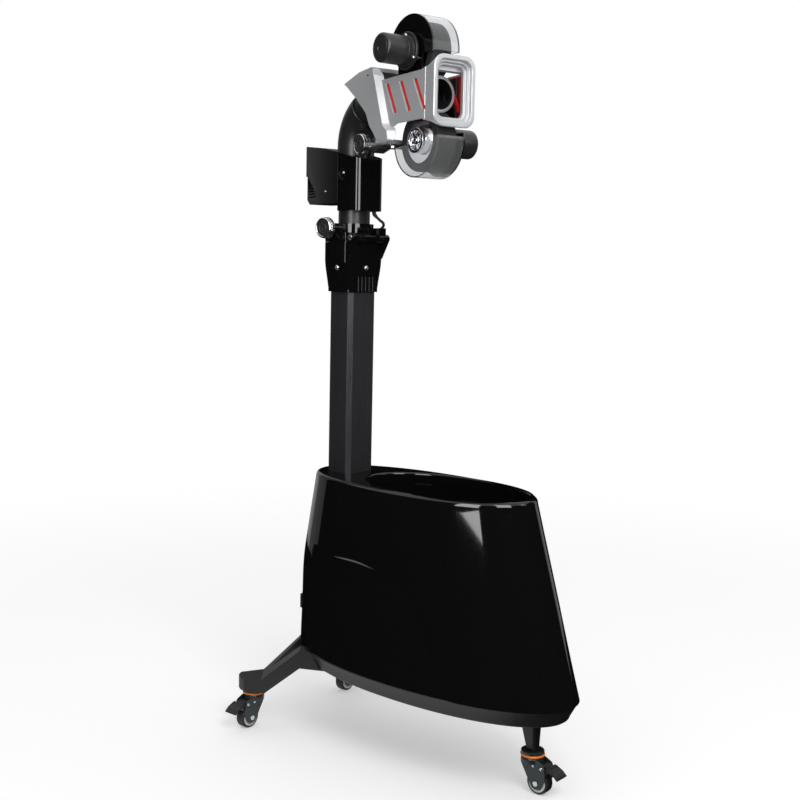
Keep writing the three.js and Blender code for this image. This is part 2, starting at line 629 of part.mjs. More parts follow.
function buildShell() {
  let skin = toManifold(shellBody(0));
  let inside = toManifold(shellBody(shellWall, shellEdge, shell.top - shellWall));
  for (const side of [-1, 1]) {
    skin = skin.subtract(archTool(side, arch.depth, 0));
    inside = inside.subtract(archTool(side, arch.depth + shellWall, shellWall));
  }
  const mouth = (grow, z0, z1) => toManifold(loft([
    oval(bin.halfWidth + grow, binHalfLength + grow, binCentre, z0),
    oval(bin.halfWidth + grow, binHalfLength + grow, binCentre, z1)]));
  const lip = mouth(bin.lipWall, shell.top - bin.lip, shell.top - shellShoulder / 2);
  const columnHole = planPrism(outline(columnOutline(gap)), shell.top - 2 * shellWall, shell.top + overrun);
  const module = block(
    -powerModule.halfWidth - gap, powerModule.halfWidth + gap, powerModule.inner, powerModule.outer + overrun,
    powerModule.z - powerModule.halfHeight - gap, powerModule.z + powerModule.halfHeight + gap);
  return toGeometry(skin.subtract(inside).add(lip)
    .subtract(mouth(0, shell.top - bin.lip - overrun, shell.top + overrun))
    .subtract(toManifold(columnHole))
    .subtract(toManifold(module)));
}

// The tub that hangs under the bin's lip and narrows to the round well
function buildTub() {
  const rim = (inset, z) => oval(bin.halfWidth + bin.lipWall - tub.topInset - inset,
    binHalfLength + bin.lipWall - tub.topInset - inset, binCentre, z);
  const round = (radius, z) => oval(radius, radius, pickup.centre, z, 2);
  const skin = (inset, floor) => loft([
    round(pickup.wellRadius + pickup.wellWall - inset, floor),
    round(pickup.wellRadius + pickup.wellWall - inset, pickup.wellTop),
    oval(tub.midHalfWidth - inset, binHalfLength - tub.midInset - inset, binCentre + tub.midShift, tub.midZ),
    rim(inset, tubTop),
  ].concat(inset > 0 ? [rim(inset, tubTop + overrun)] : []));
  const port = rod('y', pickup.centre + pickup.wellRadius - tub.portDepth, tub.portEnd,
    feed.outerRadius, [0, feed.centreZ], facets.round);
  const body = join(skin(0, pickup.floor - pickup.floorThickness), port);
  return cut(body, skin(pickup.wellWall, pickup.floor),
    rod('y', pickup.centre, tub.portEnd + overrun, ballBore / 2, [0, feed.centreZ], facets.round),
    rod('z', pickup.floor - pickup.floorThickness - overrun, pickup.floor + overrun,
      pickup.shaftRadius + runningGap, [0, pickup.centre], facets.small));
}

// A quarter bend that carries the balls from the well's port up into the column
function feedBend(radius, extend) {
  const rings = [];
  const ring = (y, z, lean) => {
    const points = [];
    for (let k = 0; k < feed.sides; k += 1) {
      const around = (2 * Math.PI * k) / feed.sides;
      const out = radius * Math.cos(around);
      points.push(new THREE.Vector3(
        radius * Math.sin(around), y + out * Math.sin(lean), z - out * Math.cos(lean)));
    }
    return points;
  };
  rings.push(ring(tub.portEnd + gap - extend, feed.centreZ, 0));
  for (let k = 0; k <= feed.steps; k += 1) {
    const lean = (Math.PI / 2) * (k / feed.steps);
    rings.push(ring(-feed.bendRadius + feed.bendRadius * Math.sin(lean),
      feed.centreZ + feed.bendRadius * (1 - Math.cos(lean)), lean));
  }
  rings.push(ring(0, column.bottom - gap + extend, Math.PI / 2));
  return loft(rings);
}

function buildColumnFoot() {
  const body = block(-columnFoot.halfWidth, columnFoot.halfWidth, -columnFoot.halfDepth, columnFoot.halfDepth,
    chassis.bottom + chassis.floor + gap, columnFoot.top);
  const socket = planPrism(outline(columnOutline(gap)), column.bottom - gap, columnFoot.top + overrun);
  const bendRoom = block(-columnFoot.roomHalfWidth, columnFoot.roomHalfWidth, -columnFoot.halfDepth - overrun,
    columnFoot.roomRear, columnFoot.roomBottom, columnFoot.roomTop);
  const hole = rod('z', columnFoot.roomTop - overrun, column.bottom + overrun, feed.outerRadius + gap,
    [0, 0], feed.sides);
  const relief = block(-columnFoot.roomHalfWidth, columnFoot.roomHalfWidth, -columnFoot.halfDepth - overrun,
    columnFoot.halfDepth + overrun, columnFoot.reliefBottom, columnFoot.reliefTop);
  return cut(body, socket, bendRoom, hole, relief);
}

function buildColumn() {
  const section = outline(columnOutline(0));
  section.holes.push(new THREE.Path().absarc(0, 0, ballBore / 2, 0, 2 * Math.PI, true));
  return planPrism(section, column.bottom, column.top, facets.round / 2);
}

function buildPickupMotor() {
  const floor = pickup.floor - pickup.floorThickness - gap;
  return turned('z', [
    [0, pickupMotor.bottom], [pickupMotor.radius - pickupMotor.bevel, pickupMotor.bottom],
    [pickupMotor.radius, pickupMotor.bottom + pickupMotor.bevel],
    [pickupMotor.radius, floor - pickupMotor.flange],
    [pickupMotor.flangeRadius, floor - pickupMotor.flange], [pickupMotor.flangeRadius, floor],
    [pickup.shaftRadius, floor], [pickup.shaftRadius, pickupMotor.shaftTop], [0, pickupMotor.shaftTop],
  ], [0, pickup.centre], facets.medium);
}

// Disc with open pockets round its rim and a low cone in the middle
function buildPickupDisc() {
  const z = pickup.floor + pickup.discLift;
  const radius = pickup.wellRadius - pickup.discClearance;
  const cone = turned('z', [
    [0, z + pickup.boreDepth], [pickup.shaftRadius + gap, z + pickup.boreDepth],
    [pickup.shaftRadius + gap, z],
    [radius, z], [radius, z + pickup.discThickness / 2], [pickup.hubRadius * 2, z + pickup.discThickness],
    [0, z + 2 * pickup.discThickness],
  ], [0, pickup.centre], facets.wheel);
  const pockets = [];
  for (let k = 0; k < pickup.pockets; k += 1) {
    const angle = (2 * Math.PI * (k + 1 / 2)) / pickup.pockets;
    pockets.push(rod('z', z - overrun, z + pickup.discThickness + overrun, pickup.pocketRadius,
      [pickup.pocketCircle * Math.sin(angle), pickup.centre + pickup.pocketCircle * Math.cos(angle)],
      facets.medium));
  }
  return cut(cone, ...pockets);
}

function buildPowerInlet() {
  const m = powerModule;
  const body = block(-m.halfWidth, m.halfWidth, m.inner, m.outer, m.z - m.halfHeight, m.z + m.halfHeight);
  const socket = block(m.socketLeft, m.socketRight, m.outer - m.socketDepth, m.outer + overrun,
    m.z - m.socketHalfHeight, m.z + m.socketHalfHeight);
  const well = block(m.rockerX - m.rockerHalfWidth - runningGap, m.rockerX + m.rockerHalfWidth + runningGap,
    m.outer - m.rockerDepth, m.outer + overrun, m.z - m.rockerHalfHeight - runningGap,
    m.z + m.rockerHalfHeight + runningGap);
  const pins = [-1, 0, 1].map((k) => {
    const x = (m.socketLeft + m.socketRight) / 2 + k * m.pinPitch;
    return block(x - m.pinHalfWidth, x + m.pinHalfWidth, m.outer - m.socketDepth - bite, m.outer - m.pinShort,
      m.z - m.pinHalfHeight, m.z + m.pinHalfHeight);
  });
  return join(cut(body, socket, well), ...pins);
}

// Rocker with a raised end; it tips about its middle
function buildRocker() {
  const m = powerModule;
  const face = m.outer;
  const shape = outline([
    [-(face - m.rockerBase), m.z - m.rockerFoot], [-(face + m.rockerRise), m.z - m.rockerHalfHeight],
    [-(face - m.rockerDip), m.z], [-(face - m.rockerDip), m.z + m.rockerHalfHeight],
    [-(face - m.rockerBase), m.z + m.rockerFoot]]);
  return sidePrism(shape, m.rockerX - m.rockerHalfWidth, m.rockerX + m.rockerHalfWidth);
}

// Casters: drawn with the trail toward +X and the swivel axis at the origin

function casterPoints(shares) {
  return shares.map(([u, z]) => [u * caster.wheelRadius, z * caster.wheelRadius]);
}

function casterMount() {
  const c = caster;
  return turned('z', [
    [0, c.pinBottom], [c.pinHeadRadius, c.pinBottom], [c.pinHeadRadius, c.crownBottom - gap],
    [c.pinRadius, c.crownBottom - gap], [c.pinRadius, c.plateBottom], [c.plateRadius, c.plateBottom],
    [c.plateRadius, c.plateTop], [0, c.plateTop]], [0, 0], facets.medium);
}

function casterRing() {
  const c = caster;
  return turned('z', [
    [c.pinRadius + gap, c.ringBottom], [c.ringRadius, c.ringBottom], [c.ringRadius, c.ringTop],
    [c.pinRadius + gap, c.ringTop], [c.pinRadius + gap, c.ringBottom]], [0, 0], facets.medium);
}

function casterFork() {
  const c = caster;
  const crown = rod('z', c.crownBottom, c.crownTop, c.crownRadius, [0, 0], facets.medium);
  const outer = c.cheekGap / 2 + c.cheek;
  const cheeks = [-1, 1].map((side) => {
    const [from, to] = side > 0 ? [c.cheekGap / 2, outer] : [-outer, -c.cheekGap / 2];
    return extruded(outline(casterPoints(cheekShares)), to - from).rotateX(Math.PI / 2).translate(0, to, 0);
  });
  const axle = rod('y', -outer - c.boltHead, outer + c.boltHead, c.axleRadius,
    [c.trail, c.wheelRadius], facets.tiny);
  const heads = [-1, 1].map((side) => rod('y', Math.min(side * outer, side * (outer + c.boltHead)),
    Math.max(side * outer, side * (outer + c.boltHead)), c.boltHeadRadius,
    [c.trail, c.wheelRadius], facets.tiny));
  const leverPin = rod('y', -outer, outer, c.leverPinRadius, [c.leverPivotU, c.leverPivotZ], facets.tiny);
  const bore = rod('z', c.crownBottom - overrun, c.crownTop + overrun, c.pinRadius + runningGap,
    [0, 0], facets.small);
  return cut(join(crown, ...cheeks, axle, ...heads, leverPin), bore);
}

function casterWheel() {
  const c = caster;
  const half = c.wheelWidth / 2;
  const rim = c.wheelRadius - c.treadDepth;
  return turned('y', [
    [c.axleRadius + runningGap, -half], [c.hubRadius, -half + c.dish], [rim - c.rimWidth, -half + c.dish],
    [rim - c.rimWidth, -half], [rim, -half], [rim, half], [rim - c.rimWidth, half],
    [rim - c.rimWidth, half - c.dish], [c.hubRadius, half - c.dish], [c.axleRadius + runningGap, half],
    [c.axleRadius + runningGap, -half]], [c.trail, c.wheelRadius], facets.large);
}

function casterTread() {
  const c = caster;
  const half = c.wheelWidth / 2;
  const inner = c.wheelRadius - c.treadDepth + gap;
  return turned('y', [
    [inner, -half], [c.wheelRadius - c.treadRound, -half], [c.wheelRadius, -half + c.treadRound],
    [c.wheelRadius, half - c.treadRound], [c.wheelRadius - c.treadRound, half], [inner, half],
    [inner, -half]],
  [c.trail, c.wheelRadius], facets.large);
}

// Brake lever: an arm between the cheeks with a pad over the tread, and a wide paddle
function casterBrake() {
  const c = caster;
  const across = (shares, half) => extruded(outline(casterPoints(shares)), 2 * half)
    .rotateX(Math.PI / 2).translate(0, half, 0);
  const boss = rod('y', -c.armHalf, c.armHalf, c.leverBoss, [c.leverPivotU, c.leverPivotZ], facets.small);
  const body = join(boss, across(armShares, c.armHalf), across(paddleShares, c.leverWidth / 2));
  return cut(body, rod('y', -c.armHalf - overrun, c.armHalf + overrun,
    c.leverPinRadius + gap, [c.leverPivotU, c.leverPivotZ], facets.small));
}

function addCasters() {
  for (const place of casterPlaces) {
    const set = (geometry) => geometry.rotateZ(place.turn * degree).translate(place.x, place.y, 0);
    addBase(`${place.name}_caster_mount`, set(casterMount()), finishes.steel);
    addBase(`${place.name}_caster_ring`, set(casterRing()), finishes.orange);
    addBase(`${place.name}_caster_fork`, set(casterFork()), finishes.fork);
    addBase(`${place.name}_caster_wheel`, set(casterWheel()), finishes.white);
    addBase(`${place.name}_caster_tread`, set(casterTread()), finishes.rubber);
    addBase(`${place.name}_caster_brake`, set(casterBrake()), finishes.moulded);
  }
}

// Column head and fold

// The casting that grips the column's top and carries the hinge ears
function buildClamp() {
  const ring = (side, front, rear, z) => ringAt(columnOutline(side, front, rear), z);
  const body = loft([
    ring(clamp.bottomGrow, clamp.frontGrow, clamp.rearGrow, clamp.bottom),
    ring(clamp.bottomGrow, clamp.frontGrow, clamp.rearGrow, clamp.straightTop),
    ring(clamp.topGrow, clamp.frontGrow, clamp.rearGrow, clamp.flareTop),
    ring(clamp.topGrow, clamp.frontGrow, clamp.rearGrow, clamp.top)]);
  const ears = [];
  for (const side of [-1, 1]) {
    const [from, to] = side > 0 ? [hinge.earInner, hinge.earOuter] : [-hinge.earOuter, -hinge.earInner];
    ears.push(rod('x', from, to, hinge.radius, [hinge.y, hinge.z], facets.medium));
    ears.push(sidePrism(outline(earShares.map(([reach, rise]) => [
      -reach * hinge.y, clamp.bottom + rise * (clamp.top - clamp.bottom)])), from, to));
    ears.push(rod('x', side > 0 ? clamp.screwX : -clamp.screwX - clamp.screwHead,
      side > 0 ? clamp.screwX + clamp.screwHead : -clamp.screwX, clamp.screwRadius,
      [0, clamp.screwZ], facets.tiny));
  }
  const front = -column.halfDepth - clamp.frontGrow;
  ears.push(rod('y', front - clamp.screwHead, front + bite, clamp.screwRadius,
    [0, clamp.screwZ], facets.tiny));
  const socket = planPrism(outline(columnOutline(gap)), clamp.bottom - overrun, column.top + gap);
  const bore = rod('z', column.top - overrun, clamp.top + overrun, ballBore / 2, [0, 0], facets.round);
  const pinHole = rod('x', -hinge.earOuter - overrun, hinge.earOuter + overrun,
    hinge.pinRadius + gap, [hinge.y, hinge.z], facets.small);
  return cut(join(body, ...ears), socket, bore, pinHole);
}

function buildHingePin() {
  const end = hinge.earOuter + gap;
  return join(
    rod('x', -end, end, hinge.pinRadius, [hinge.y, hinge.z], facets.small),
    rod('x', -end - hinge.headLength, -end, hinge.headRadius, [hinge.y, hinge.z], facets.small),
    rod('x', end, end + hinge.headLength, hinge.headRadius, [hinge.y, hinge.z], facets.small));
}

// The fold flange: a plate with the middle knuckle, a socket for the mast
// tube, and a radial boss for the locking knob
function buildFlange() {
  const bottom = clamp.top + gap;
  const top = bottom + flange.thickness;
  const section = columnOutline(clamp.topGrow, clamp.frontGrow, clamp.rearGrow);
  const plate = planPrism(outline(section), bottom, top);
  const knuckle = rod('x', -hinge.knuckleHalf, hinge.knuckleHalf, hinge.radius,
    [hinge.y, hinge.z], facets.medium);
  const web = block(-hinge.knuckleHalf, hinge.knuckleHalf, hinge.y, hinge.y + 2 * hinge.radius,
    bottom + flange.webRise, hinge.z + hinge.radius);
  const collar = rod('z', top - bite, flange.collarTop, flange.collarRadius, [0, 0], facets.round);
  const boss = rod('x', -flange.bossReach, 0, flange.bossRadius, [0, mastKnob.z], facets.medium);
  const earRoom = [-1, 1].map((side) => {
    const [from, to] = side > 0
      ? [hinge.knuckleHalf, hinge.earOuter + overrun] : [-hinge.earOuter - overrun, -hinge.knuckleHalf];
    return rod('x', from, to, hinge.radius + flange.earGap, [hinge.y, hinge.z], facets.medium);
  });
  const slots = [-1, 1].map((side) => block(
    side * flange.slotX - flange.slotHalf, side * flange.slotX + flange.slotHalf,
    hinge.y - hinge.radius - overrun, hinge.y + hinge.radius,
    hinge.z + hinge.radius - flange.slotDepth, hinge.z + hinge.radius + overrun));
  return cut(join(plate, knuckle, web, collar, boss), ...earRoom, ...slots,
    rod('z', bottom - overrun, top, ballBore / 2, [0, 0], facets.round),
    rod('z', mast.bottom, flange.collarTop + overrun, mast.outerRadius + runningGap, [0, 0], facets.round),
    rod('x', -hinge.earOuter, hinge.earOuter, hinge.pinRadius + gap, [hinge.y, hinge.z], facets.small),
    rod('x', -flange.bossReach - overrun, 0, knob.shaftRadius + gap, [0, mastKnob.z], facets.large),
    rod('z', top - flange.leadHoleDepth, top + overrun, flange.leadHoleRadius,
      [flange.leadHoleX, flange.leadHoleY], facets.small));
}

// A knob on the -X side: cap and rim, then a core that is a shaft where it ends
// behind the knob's back, and a blind bore where it ends before it
function buildKnob(face, coreRadius, coreEnd, centre) {
  return turned('x', [
    [0, -face], [knob.capRadius, -face], [knob.radius, -face + knob.capDepth],
    [knob.radius, -face + knob.thickness - knob.backBevel], [knob.backRadius, -face + knob.thickness],
    [coreRadius, -face + knob.thickness], [coreRadius, coreEnd], [0, coreEnd]],
  centre, facets.large);
}

// Mast

function buildMastTube() {
  return cut(rod('z', mast.bottom + gap, mast.top, mast.outerRadius, [0, 0], facets.round),
    rod('z', mast.bottom - overrun, mast.top + overrun, ballBore / 2, [0, 0], facets.round));
}

// Bore for the mast, wider at the top for the elbow's socket
function mastBore(bottom) {
  return join(
    rod('z', bottom - overrun, elbow.bottom, mast.outerRadius + gap, [0, 0], facets.round),
    rod('z', elbow.bottom - bite, box.topRear + overrun, elbow.outerRadius + gap, [0, 0], facets.round));
}

function buildControlHousing() {
  const b = box;
  const plan = (inset, open) => outline([
    [-b.halfWidth + inset, -b.split + (open ? -overrun : 0)], [-b.halfWidth + inset, -b.taperStart],
    [-b.rearHalfWidth + inset, -b.rear - inset], [b.rearHalfWidth - inset, -b.rear - inset],
    [b.halfWidth - inset, -b.taperStart], [b.halfWidth - inset, -b.split + (open ? -overrun : 0)]]);
  const side = (d) => outline([
    [b.split + (d > 0 ? overrun : 0), b.bottom + d], [b.split + (d > 0 ? overrun : 0), b.topSplit - d],
    [b.taperStart, b.topTaper - d], [b.rear + d, b.topRear - d], [b.rear + d, b.notchZ],
    [b.rear + b.notchDepth + d, b.notchZ], [b.rear + b.notchDepth + d, b.chamferZ],
    [b.rear + b.notchDepth + b.chamferDepth + d, b.bottom + d]]);
  const outer = common(planPrism(plan(0, false), b.bottom, b.topRear),
    sidePrism(side(0), -b.halfWidth, b.halfWidth));
  const inner = common(planPrism(plan(b.wall, true), b.bottom + b.wall, b.topRear),
    sidePrism(side(b.wall), -b.halfWidth, b.halfWidth));
  const vents = [];
  for (const edge of [-1, 1]) {
    for (let k = 0; k < vent.count; k += 1) {
      const z = vent.bottom + k * vent.pitch;
      vents.push(block(edge > 0 ? vent.inner : -vent.outer, edge > 0 ? vent.outer : -vent.inner,
        vent.rearY - (vent.longest - k * vent.shorter), vent.rearY, z, z + vent.height));
    }
  }
  return cut(outer, inner, mastBore(b.bottom), ...vents);
}

function buildControlCover() {
  const c = cover;
  const rear = box.split + gap;
  const plan = (d, open) => outline([
    [-box.halfWidth + d, -rear + (open ? overrun : 0)], [-box.halfWidth + d, -(c.front - c.cornerLength)],
    [-box.halfWidth + c.cornerWidth + d / 2, -c.front + d],
    [box.halfWidth - c.cornerWidth - d / 2, -c.front + d],
    [box.halfWidth - d, -(c.front - c.cornerLength)], [box.halfWidth - d, -rear + (open ? overrun : 0)]]);
  const side = (d) => outline([
    [rear - (d > 0 ? overrun : 0), c.bottom + d], [c.front - d, c.bottom + d], [c.front - d, c.topFront - d],
    [rear - (d > 0 ? overrun : 0), box.topSplit - d]]);
  const outer = common(planPrism(plan(0, false), c.bottom, box.topSplit),
    sidePrism(side(0), -box.halfWidth, box.halfWidth));
  const inner = common(planPrism(plan(box.wall, true), c.bottom + box.wall, box.topSplit),
    sidePrism(side(box.wall), -box.halfWidth, box.halfWidth));
  const dimple = rod('x', -box.halfWidth - overrun, -box.halfWidth + c.dimpleDepth, c.dimpleRadius,
    [-c.dimpleForward, c.dimpleZ], facets.medium);
  return cut(outer, inner, mastBore(c.bottom), dimple);
}

function buildLead() {
  const route = new THREE.CatmullRomCurve3(lead.route.map((p) => new THREE.Vector3(...p)));
  const rings = [];
  const frames = route.computeFrenetFrames(lead.steps);
  for (let i = 0; i <= lead.steps; i += 1) {
    const centre = route.getPointAt(i / lead.steps);
    const radius = i <= lead.ferruleSteps ? lead.ferruleRadius : lead.radius;
    const ring = [];
    for (let k = 0; k < lead.sides; k += 1) {
      const around = (2 * Math.PI * k) / lead.sides;
      ring.push(centre.clone()
        .addScaledVector(frames.normals[i], radius * Math.cos(around))
        .addScaledVector(frames.binormals[i], radius * Math.sin(around)));
    }
    rings.push(ring);
  }
  return loft(rings);
}

// The fixed elbow on the mast's top, with a lug that reaches to the tilt axis
function buildElbow() {
  const sleeve = rod('z', elbow.bottom + gap, tilt.z + bite, elbow.outerRadius, [0, 0], facets.round);
  const bend = tiltArc(elbow.outerRadius, 0, elbow.endAngle, elbow.steps);
  const polar = (radius, angle) => [
    tilt.forward - radius * Math.cos(angle * degree), tilt.z + radius * Math.sin(angle * degree)];
  const reach = tilt.forward - elbow.outerRadius + elbow.lugBite;
  const web = sidePrism(outline([
    polar(tiltLug.radius, tiltLug.lowAngle - 90), polar(reach, tiltLug.lowAngle),
    polar(reach, tiltLug.midAngle), polar(reach, tiltLug.highAngle),
    polar(tiltLug.radius, tiltLug.highAngle + 90)]), -tiltLug.halfWidth, tiltLug.halfWidth);
  const eye = rod('x', -tiltLug.halfWidth, tiltLug.halfWidth, tiltLug.radius,
    [-tilt.forward, tilt.z], facets.large);
  const grips = [-1, 1].map((side) => block(
    side * elbow.gripX - elbow.gripHalf, side * elbow.gripX + elbow.gripHalf,
    -elbow.gripReach, -elbow.innerRadius, elbow.gripBottom, elbow.gripTop));
  return cut(join(sleeve, bend, web, eye, ...grips),
    rod('z', elbow.bottom - overrun, tilt.z + bite, elbow.innerRadius, [0, 0], facets.round),
    tiltArc(elbow.innerRadius, 0, elbow.endAngle + 2, elbow.steps),
    rod('x', -tiltLug.halfWidth - overrun, tiltLug.halfWidth + overrun, knob.shaftRadius + gap,
      [-tilt.forward, tilt.z], facets.large));
}

// Head

// The space that each wheel sweeps, with its clearance
function wheelRoom() {
  return [upperWheel, lowerWheel].map((w) => rod('x', -outlet.windowHalfWidth, outlet.windowHalfWidth,
    wheel.radius + outlet.windowClearance, [-w.forward, w.z], facets.wheel));
}

// Inlet arc that slides in the elbow, and the straight barrel past the wheels
function buildOutletTube() {
  const bendEnd = 90;
  const arc = tiltArc(inlet.outerRadius, inlet.startAngle, bendEnd, inlet.steps);
  const arcBore = tiltArc(ballBore / 2, inlet.startAngle - 2, bendEnd, inlet.steps);
  const barrel = rod('y', -outlet.end, -tilt.forward + bite, outlet.outerRadius, [0, throwZ], facets.round);
  const rim = rod('y', -outlet.end, -outlet.end + outlet.rimLength, outlet.rim, [0, throwZ], facets.round);
  const bore = rod('y', -outlet.end - overrun, -tilt.forward + bite, outlet.boreRadius,
    [0, throwZ], facets.round);
  const peeps = rod('x', -outlet.outerRadius - overrun, outlet.outerRadius + overrun, outlet.peepRadius,
    [-outlet.peepForward, throwZ], facets.small);
  return cut(join(arc, barrel, rim), arcBore, bore, ...wheelRoom(), peeps);
}

// The bolt through the bracket and the elbow's lug, which the tilt knob screws on to
function buildTiltBolt() {
  const end = -tiltKnob.face + tiltKnob.capWall + gap;
  const head = tiltBracket.cheekInner + tiltBracket.cheek + gap;
  return turned('x', [
    [0, end], [knob.shaftRadius, end], [knob.shaftRadius, head], [tiltBolt.headRadius, head],
    [tiltBolt.headRadius, head + tiltBolt.headLength], [0, head + tiltBolt.headLength]],
  [-tilt.forward, tilt.z], facets.small);
}

function buildTiltBracket() {
  const t = tiltBracket;
  const cheeks = [-1, 1].flatMap((side) => {
    const far = t.cheekInner + t.cheek;
    const [from, to] = side > 0 ? [t.cheekInner, far] : [-far, -t.cheekInner];
    return [
      rod('x', from, to, t.radius, [-tilt.forward, tilt.z], facets.large),
      sidePrism(outline([
        [tilt.forward, tilt.z - t.radius], [t.plateRear, t.plateTop - t.plateThickness],
        [t.cheekFront, t.plateTop - t.plateThickness], [t.cheekFront, t.plateTop],
        [t.cheekTopForward, tilt.z + t.cheekRise], [tilt.forward, tilt.z + t.radius]]), from, to)];
  });
  const plate = block(-t.halfWidth, t.halfWidth, -t.reach, -t.plateRear,
    t.plateTop - t.plateThickness, t.plateTop);
  const bolts = [-1, 1].map((side) => rod('z', t.plateTop - t.plateThickness - t.boltHead, t.plateTop - bite,
    t.boltRadius, [side * t.boltX, -t.reach + t.boltInset], facets.tiny));
  return cut(join(plate, ...cheeks, ...bolts), rod('x', -t.halfWidth, t.halfWidth, knob.shaftRadius + gap,
    [-tilt.forward, tilt.z], facets.large));
}

// A slab between two side outlines of equal count, at two distances from the middle
function taperedSide(outlineA, xa, outlineB, xb) {
  const ring = (points, x) => points.map(([forward, z]) => new THREE.Vector3(x, -forward, z));
  return loft([ring(outlineA, xa), ring(outlineB, xb)]);
}

// The wing beside the collar: its front edge steps in to the side panel
function buildWing(side) {
  const outer = wingShares.map(headPoint);
  const inner = outer.map(([forward, z], k) => [
    forward + (wingStepped.includes(k) ? head.wingOuter - head.panelInner : 0), z]);
  const solid = taperedSide(outer, side * head.wingOuter, inner, side * head.panelInner);
  const room = sidePrism(outline(wingRoomShares.map(headPoint)),
    side > 0 ? head.panelInner - overrun : -head.wingOuter + head.wingWall,
    side > 0 ? head.wingOuter - head.wingWall : -head.panelInner + overrun);
  return cut(solid, room);
}

function slotOutline([topShare, bottomShare], inset) {
  const half = slot.halfWidth - inset;
  const top = topShare * head.mouthFront;
  const bottom = bottomShare * head.mouthFront;
  return outline([
    [top - half, slot.topZ - inset], [bottom - half, slot.bottomZ + inset],
    [bottom + half, slot.bottomZ + inset], [top + half, slot.topZ - inset]]);
}

function mouthRing(halfWidth, bottom, top, radius, forward) {
  const shape = roundedRect(halfWidth, bottom, top, radius);
  return shape.getPoints(head.cornerSteps).map((p) => new THREE.Vector3(p.x, -forward, p.y));
}

function buildHeadHousing() {
  const h = head;
  const flare = loft(flareShares.map(([forward, width, bottom, top, corner]) => mouthRing(
    width * h.mouthHalfWidth, headPoint([forward, bottom])[1], headPoint([forward, top])[1],
    corner * h.mouthCorner, forward * h.mouthFront)));
  const room = frontPrism(roundedRect(h.panelInner, h.roomBottom, h.roomTop, h.roomCorner),
    h.roomRear, h.roomFront, h.cornerSteps);
  const steps = lipShares.map(([width, depth]) => {
    const halfWidth = width * h.mouthHalfWidth;
    const inset = h.mouthHalfWidth - halfWidth;
    const ring = roundedRect(halfWidth, h.mouthBottom + inset, h.mouthTop - inset,
      h.mouthCorner - inset * h.cornerShare);
    return frontPrism(ring, depth * h.mouthFront, h.mouthFront + overrun, h.cornerSteps);
  });
  const skin = sidePrism(outline(hoodShares.map(headPoint)), -h.wingOuter, h.wingOuter);
  const bandFront = lowerWheel.forward - wheel.radius - tyreRoom;
  const band = block(-h.wingOuter, h.wingOuter, -bandFront, -bandFront + h.bandLength,
    h.bandBottom, h.bandTop);
  const bodies = [cut(flare, room), skin, band];
  for (const side of [-1, 1]) {
    const [from, to] = side > 0 ? [h.panelInner, h.panelOuter] : [-h.panelOuter, -h.panelInner];
    bodies.push(buildWing(side), sidePrism(outline(panelShares.map(headPoint)), from, to));
  }
  const openings = slotShares.map((place) => sidePrism(slotOutline(place, 0), -h.wingOuter, h.wingOuter));
  const eyelet = sidePrism(outline(eyeletShares.map(headPoint)),
    -h.wingOuter - overrun, h.wingOuter + overrun);
  return cut(join(...bodies), ...steps, ...openings, eyelet, ...wheelRoom());
}

// Red insert behind one side panel: a thin backing with a bar in each slot
function buildInsert(side) {
  const span = (a, b) => (side > 0 ? [a, b] : [-b, -a]);
  const bars = slotShares.map((place) => sidePrism(slotOutline(place, gap),
    ...span(insert.backOuter - bite, insert.face)));
  const back = sidePrism(outline(insertShares.map(headPoint)), ...span(insert.backInner, insert.backOuter));
  return join(back, ...bars);
}

// Dark liner: carries the motor plate on one side and steadies the barrel
function buildLiner(side) {
  const span = (a, b) => (side > 0 ? [a, b] : [-b, -a]);
  const places = (side < 0 ? upperBossShares : lowerBossShares).map(headPoint);
  const bosses = places.map(([forward, z]) => rod('x', ...span(liner.bossEnd, liner.inner + bite),
    liner.bossRadius, [-forward, z], facets.small));
  const pads = padShares.map((share) => {
    const forward = share * head.mouthFront;
    const [from, to] = span(liner.padEnd, liner.inner + bite);
    return block(from, to, -forward - liner.padHalf, -forward + liner.padHalf,
      throwZ - liner.padHalf / 2, throwZ + liner.padHalf / 2);
  });
  const wall = sidePrism(outline(linerShares.map(headPoint)), ...span(liner.inner, liner.outer));
  return join(wall, ...bosses, ...pads);
}

// A motor on one side of its wheel: can, flange, standoffs and shaft
function buildMotor(w) {
  const m = motor;
  const s = w.side;
  const at = (distance) => s * distance;
  const profile = [
    [0, m.end], [m.capRadius, m.end], [m.radius, m.end - m.bevel], [m.radius, m.flangeOuter],
    [m.flangeRadius, m.flangeOuter], [m.flangeRadius, m.flangeInner], [m.shaftRadius, m.flangeInner],
    [m.shaftRadius, m.shaftEnd], [0, m.shaftEnd]].map(([r, d]) => [r, at(d)]);
  const body = turned('x', profile, [-w.forward, w.z], facets.large);
  const posts = [];
  for (let k = 0; k < m.standoffs; k += 1) {
    const angle = Math.PI / 2 + (2 * Math.PI * k) / m.standoffs;
    const [a, b] = [at(guard.plateOuter + gap), at(m.flangeInner + bite)].sort((p, q) => p - q);
    posts.push(rod('x', a, b, m.standoffRadius,
      [-w.forward + m.standoffCircle * Math.cos(angle), w.z + m.standoffCircle * Math.sin(angle)],
      facets.tiny));
  }
  return join(body, ...posts);
}

